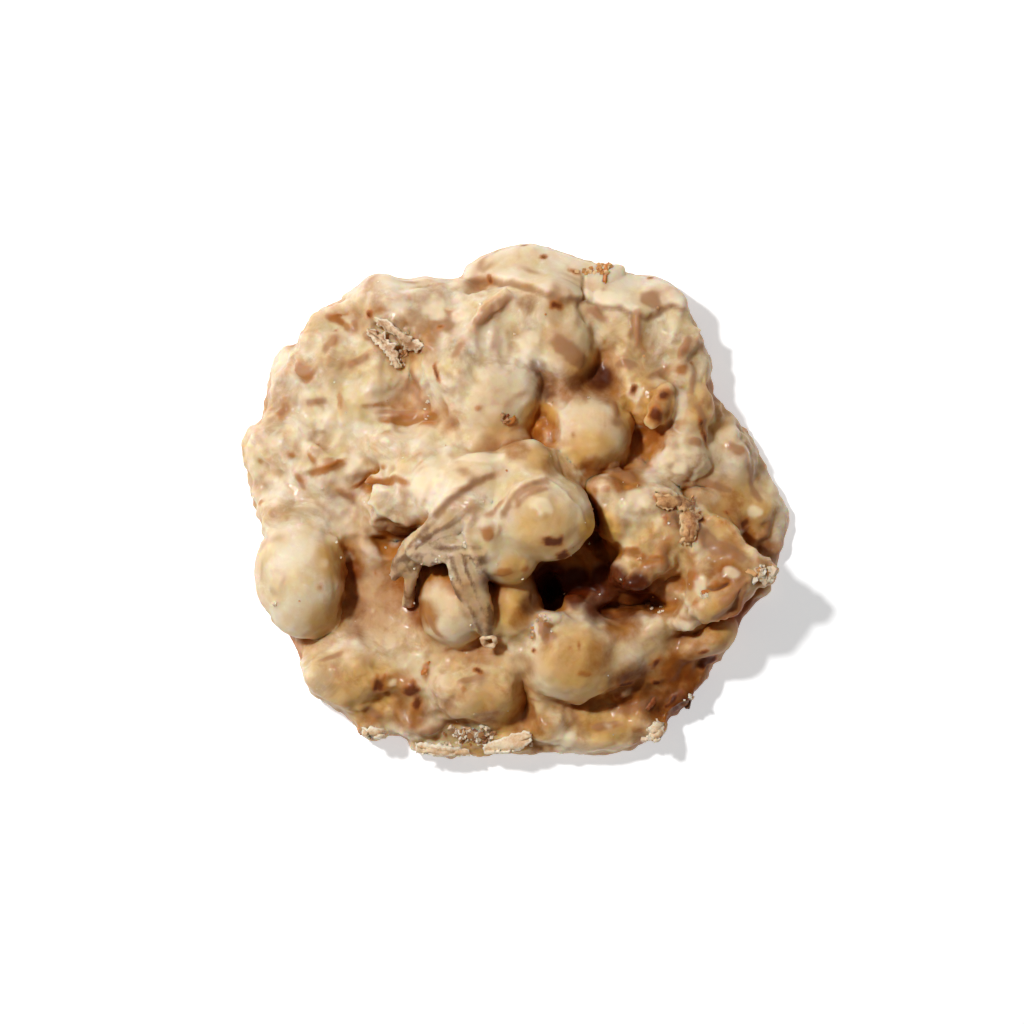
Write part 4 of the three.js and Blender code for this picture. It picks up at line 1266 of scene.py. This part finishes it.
bm = bmesh.new()
bmesh.ops.create_circle(bm, segments=RING_SEGMENTS, radius=RING_THICK)
bmesh.ops.rotate(bm, verts=bm.verts, matrix=Matrix.Rotation(math.radians(90), 3, "X"))
bmesh.ops.translate(bm, verts=bm.verts, vec=(RING_RADIUS, 0, 0))
outline = bm.verts[:] + bm.edges[:]
whole = {"angle": 2 * math.pi, "steps": RING_STEPS, "use_merge": True}
bmesh.ops.spin(bm, geom=outline, axis=(0, 0, 1), cent=(0, 0, 0), **whole)
bmesh.ops.rotate(bm, verts=bm.verts, matrix=Matrix.Rotation(math.radians(RING_LEAN), 3, "X"))
for vert in bm.verts:
    dent = Vector([noise.noise(vert.co * 1.1 + Vector((0, 5 * k, 3.0))) for k in range(3)])
    vert.co = (vert.co + dent * RING_DENT + RING_PLACE) * MM
bmesh.ops.recalc_face_normals(bm, faces=bm.faces)
ring = new_piece("curl_ring", bm)
print("curl_ring faces", len(ring.data.polygons))

# %% [markdown]
# ## The finish of coated chocolate
# Blond chocolate is translucent: light goes in and comes out warmer a millimetre away, which softens every
# edge and makes shadows orange brown. That is subsurface scattering, with red travelling furthest. The
# colour runs from ivory to honey. On top of that the crests are painted paler and the creases and hollows
# darker, as painted light and shade, and the marks tint it.

# %% Noise and what the mesh carries
coat = Shade("coat")
cloud = coat.noise(7 * MM, 3.0, 0.5, 0.3)
patch = coat.noise(2.6 * MM, 4.0, 0.6, 0.3)
bruise = coat.noise(3.4 * MM, 5.0, 0.62, 0.5)
rust = coat.noise(2.2 * MM, 4.0, 0.6, 0.3)
grain = coat.noise(0.8 * MM, 3.0, 0.6)
speck = coat.noise(0.35 * MM, 2.0, 0.6)
bloom = coat.noise(1.3 * MM, 5.0, 0.7, 0.4)
nut, curl, honey_and_shade, plate, crease = map(coat.mark, ("nut", "curl", "honey_and_shade", "plate", "crease"))
# how much sky each point sees, used to paint shade into hollows
depth = coat.mark("open") + (patch - 0.5) * 0.15
mass = (1 - nut * 0.7) * (1 - plate * 0.7)

# %% [markdown]
# The coat's colour is laid first, with painted light and shade: crests paler, creases darker. Clear syrup
# only takes colour away, so honey, caramel and toffee are stains: they multiply what lies under them, and
# stay saturated where they are dark. The same stains paint shade into creases, hollows and cast shadows.

# %% Ivory, cream and their stains
IVORY = tint(236, 226, 206)
CREAM = tint(224, 200, 152)
# stains: what they make of white. Honey and caramel are partly painted shade,
# toffee and cocoa are painted shade only
HONEY_AND_SHADE_STAIN = tint(238, 202, 124)
CARAMEL_AND_SHADE_STAIN = tint(186, 134, 76)
TOFFEE_SHADE = tint(206, 144, 72)
COCOA_SHADE = tint(126, 74, 44)

# painted light and shade: crests come out ivory and creases cream
level = (cloud - 0.5) * 0.9 + (patch - 0.5) * 1.2 - crease * 0.4 + plate * 0.1
coat.colour = CREAM
coat.cover((level + 0.5).between(0.15, 0.8), IVORY)
coat.cover(bruise.between(0.46, 0.7) * mass * 0.65, tint(186, 150, 104))
coat.cover(bloom.between(0.52, 0.72) * (1 - honey_and_shade * 0.6) * 0.5, tint(248, 240, 222))
coat.cover(rust.between(0.5, 0.74) * mass * (honey_and_shade * 0.5 + 0.35), tint(186, 124, 56))
# honey: the nuts' own honey coat, and painted shade on shaded sides, the lower right and in creases
coat.stain((honey_and_shade + (patch - 0.5) * 0.9 + crease * 0.15).between(0.0, 1.0), HONEY_AND_SHADE_STAIN)
# brown: partly a coat turned brown, partly painted shade in creases and cast shadows
brown_and_shade = coat.mark("brown") + (patch - 0.5) * 1.3 + crease * 0.2
coat.stain(brown_and_shade.between(0.1, 1.0), CARAMEL_AND_SHADE_STAIN)
coat.cover(coat.mark("halo") * patch.between(0.3, 0.7) * 0.5, tint(206, 146, 80))
# painted shade: creases are stained caramel
coat.stain((crease - 0.1).between(0.0, 1.2) * (honey_and_shade * 0.5 + 0.25), CARAMEL_AND_SHADE_STAIN)
# painted shade: hollows that see less sky are stained toffee brown
coat.stain(1 - depth.between(0.34, 0.8), TOFFEE_SHADE)

# %% Marks, the curl and the hollows
strip = coat.mark("strip") + (grain - 0.5) * 0.25
pale = coat.mark("pale") + (grain - 0.5) * 0.25
dark = coat.mark("dark") + (speck - 0.5) * 0.3
amber = coat.mark("amber") + (speck - 0.5) * 0.3
streak = (coat.mark("streak") * 0.9 + grain - 0.2).between(0.15, 0.75)
painted_crest_light = (0.0 - crease).between(0.2, 1.4)
coat.cover(strip.between(0.08, 0.9) * 0.8, tint(168, 120, 82))
coat.cover(pale.between(0.08, 0.95) * 0.7, tint(246, 232, 202))
coat.cover(dark.between(0.02, 0.5) * 0.8, tint(186, 116, 56))
coat.cover(dark.between(0.35, 0.95) * 0.9, tint(106, 48, 20))
coat.cover(amber.between(0.08, 0.9) * 0.85, tint(176, 114, 54))
coat.cover(curl * 0.35, tint(176, 134, 90))
coat.cover(curl * streak * 0.8, tint(112, 74, 46))
# painted highlight: the curl's crests are painted paler
coat.cover(curl * painted_crest_light * 0.7, tint(236, 218, 190))
# painted shade: the deepest hollows and the listed deep places are stained cocoa brown
coat.stain(1 - depth.between(0.06, 0.4), COCOA_SHADE)
coat.stain((coat.mark("deep") + (patch - 0.5) * 0.6).between(0.1, 0.9), COCOA_SHADE)

# %% Gloss and depth of the coat
wet = patch.between(0.4, 0.65) * (1 - plate * 0.8) * (1 - nut * 0.8) * (1 - dark.between(0.1, 0.85))
coat.finish(
    {
        "Base Color": coat.colour,
        "Roughness": grain * 0.24 + 0.34 + plate * 0.12 - curl * 0.08,
        "Coat Weight": wet * 0.22,
        "Coat Roughness": 0.2,
        "Normal": coat.bumps(grain * 0.6 + speck * 0.4, 0.14 * MM, 0.4),
        "Subsurface Weight": 1.0,
        "Subsurface Radius": (1.0, 0.44, 0.13),
        "Subsurface Scale": 2.0 * MM,
        "IOR": 1.38,
        "Specular IOR Level": 0.2,
    }
)
print("nodes in the coat", len(coat.tree.nodes))

# %% [markdown]
# ## Wafer, plates and bits
# Bare wafer is dry: porous, matte, blistered, pinkish brown with near white edges. Chips and crumbs take
# their colour from the mesh.

# %% Dry finishes
def dry_material(shade, pores, roughness, strength, radius, depth):
    """What all dry finishes share: pores, little gloss, and light that goes in a little way."""
    shade.finish(
        {
            "Base Color": shade.colour,
            "Roughness": roughness,
            "Normal": shade.bumps(pores, 0.15 * MM, strength),
            "Subsurface Weight": 0.3,
            "Subsurface Radius": radius,
            "Subsurface Scale": depth,
        }
    )
    return shade.material


def wafer_finish(name, low_tint, high_tint, rim_tint, pore, roughness):
    shade = Shade(name)
    blotch = shade.noise(1.6 * MM, 4.0, 0.6)
    pores = shade.noise(pore, 3.0, 0.7)
    shade.colour = low_tint
    shade.cover((blotch * 0.6 + pores * 0.4).between(0.38, 0.62), high_tint)
    shade.cover((shade.mark("rim") + (pores - 0.5)).between(0.35, 0.9) * 0.8, rim_tint)
    return dry_material(shade, pores, pores * 0.2 + (roughness - 0.1), 0.6, (1.0, 0.5, 0.25), 0.8 * MM)


def bit_finish(name):
    shade = Shade(name)
    pores = shade.noise(0.3 * MM, 3.0, 0.6)
    shade.colour = shade.mark("tone", "Color")
    shade.cover(pores.between(0.4, 0.75) * 0.25, tint(222, 172, 112))
    return dry_material(shade, pores, pores * 0.3 + 0.35, 0.7, (1.0, 0.45, 0.2), 0.6 * MM)


BARE = tint(214, 174, 130), tint(240, 220, 188), tint(250, 240, 220)
FRAYED = tint(182, 138, 100), tint(228, 202, 168), tint(242, 226, 200)
TOASTED = tint(158, 100, 54), tint(222, 172, 116), tint(234, 198, 150)

bare = wafer_finish("bare_wafer", *BARE, 0.35 * MM, 0.7)
frayed = wafer_finish("frayed_wafer", *FRAYED, 0.4 * MM, 0.6)
toasted = wafer_finish("toasted_wafer", *TOASTED, 0.5 * MM, 0.6)
bits = bit_finish("bits")

# %% Give each piece its finish
for piece, material in (
    (skin, coat.material), (front_plates, bare), (wafer_strips, frayed), (ring, bare),
    (toasted_wafer, toasted), (chips, bits), (crumbs, bits),
):
    piece.data.materials.clear()
    piece.data.materials.append(material)
    if piece is not crumbs:
        piece.data.shade_smooth()
    print(piece.name, "is finished as", material.name)

# %% [markdown]
# ## What each piece is
# The skin takes the place of all the solids. Everything else only lies on it, and nothing on a praline
# moves, so every piece rides on the one root body.

# %% Tell what each piece is
loose = [front_plates, wafer_strips, toasted_wafer, chips, crumbs, ring]
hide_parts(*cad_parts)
for piece in [skin, *loose]:
    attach(piece, "root")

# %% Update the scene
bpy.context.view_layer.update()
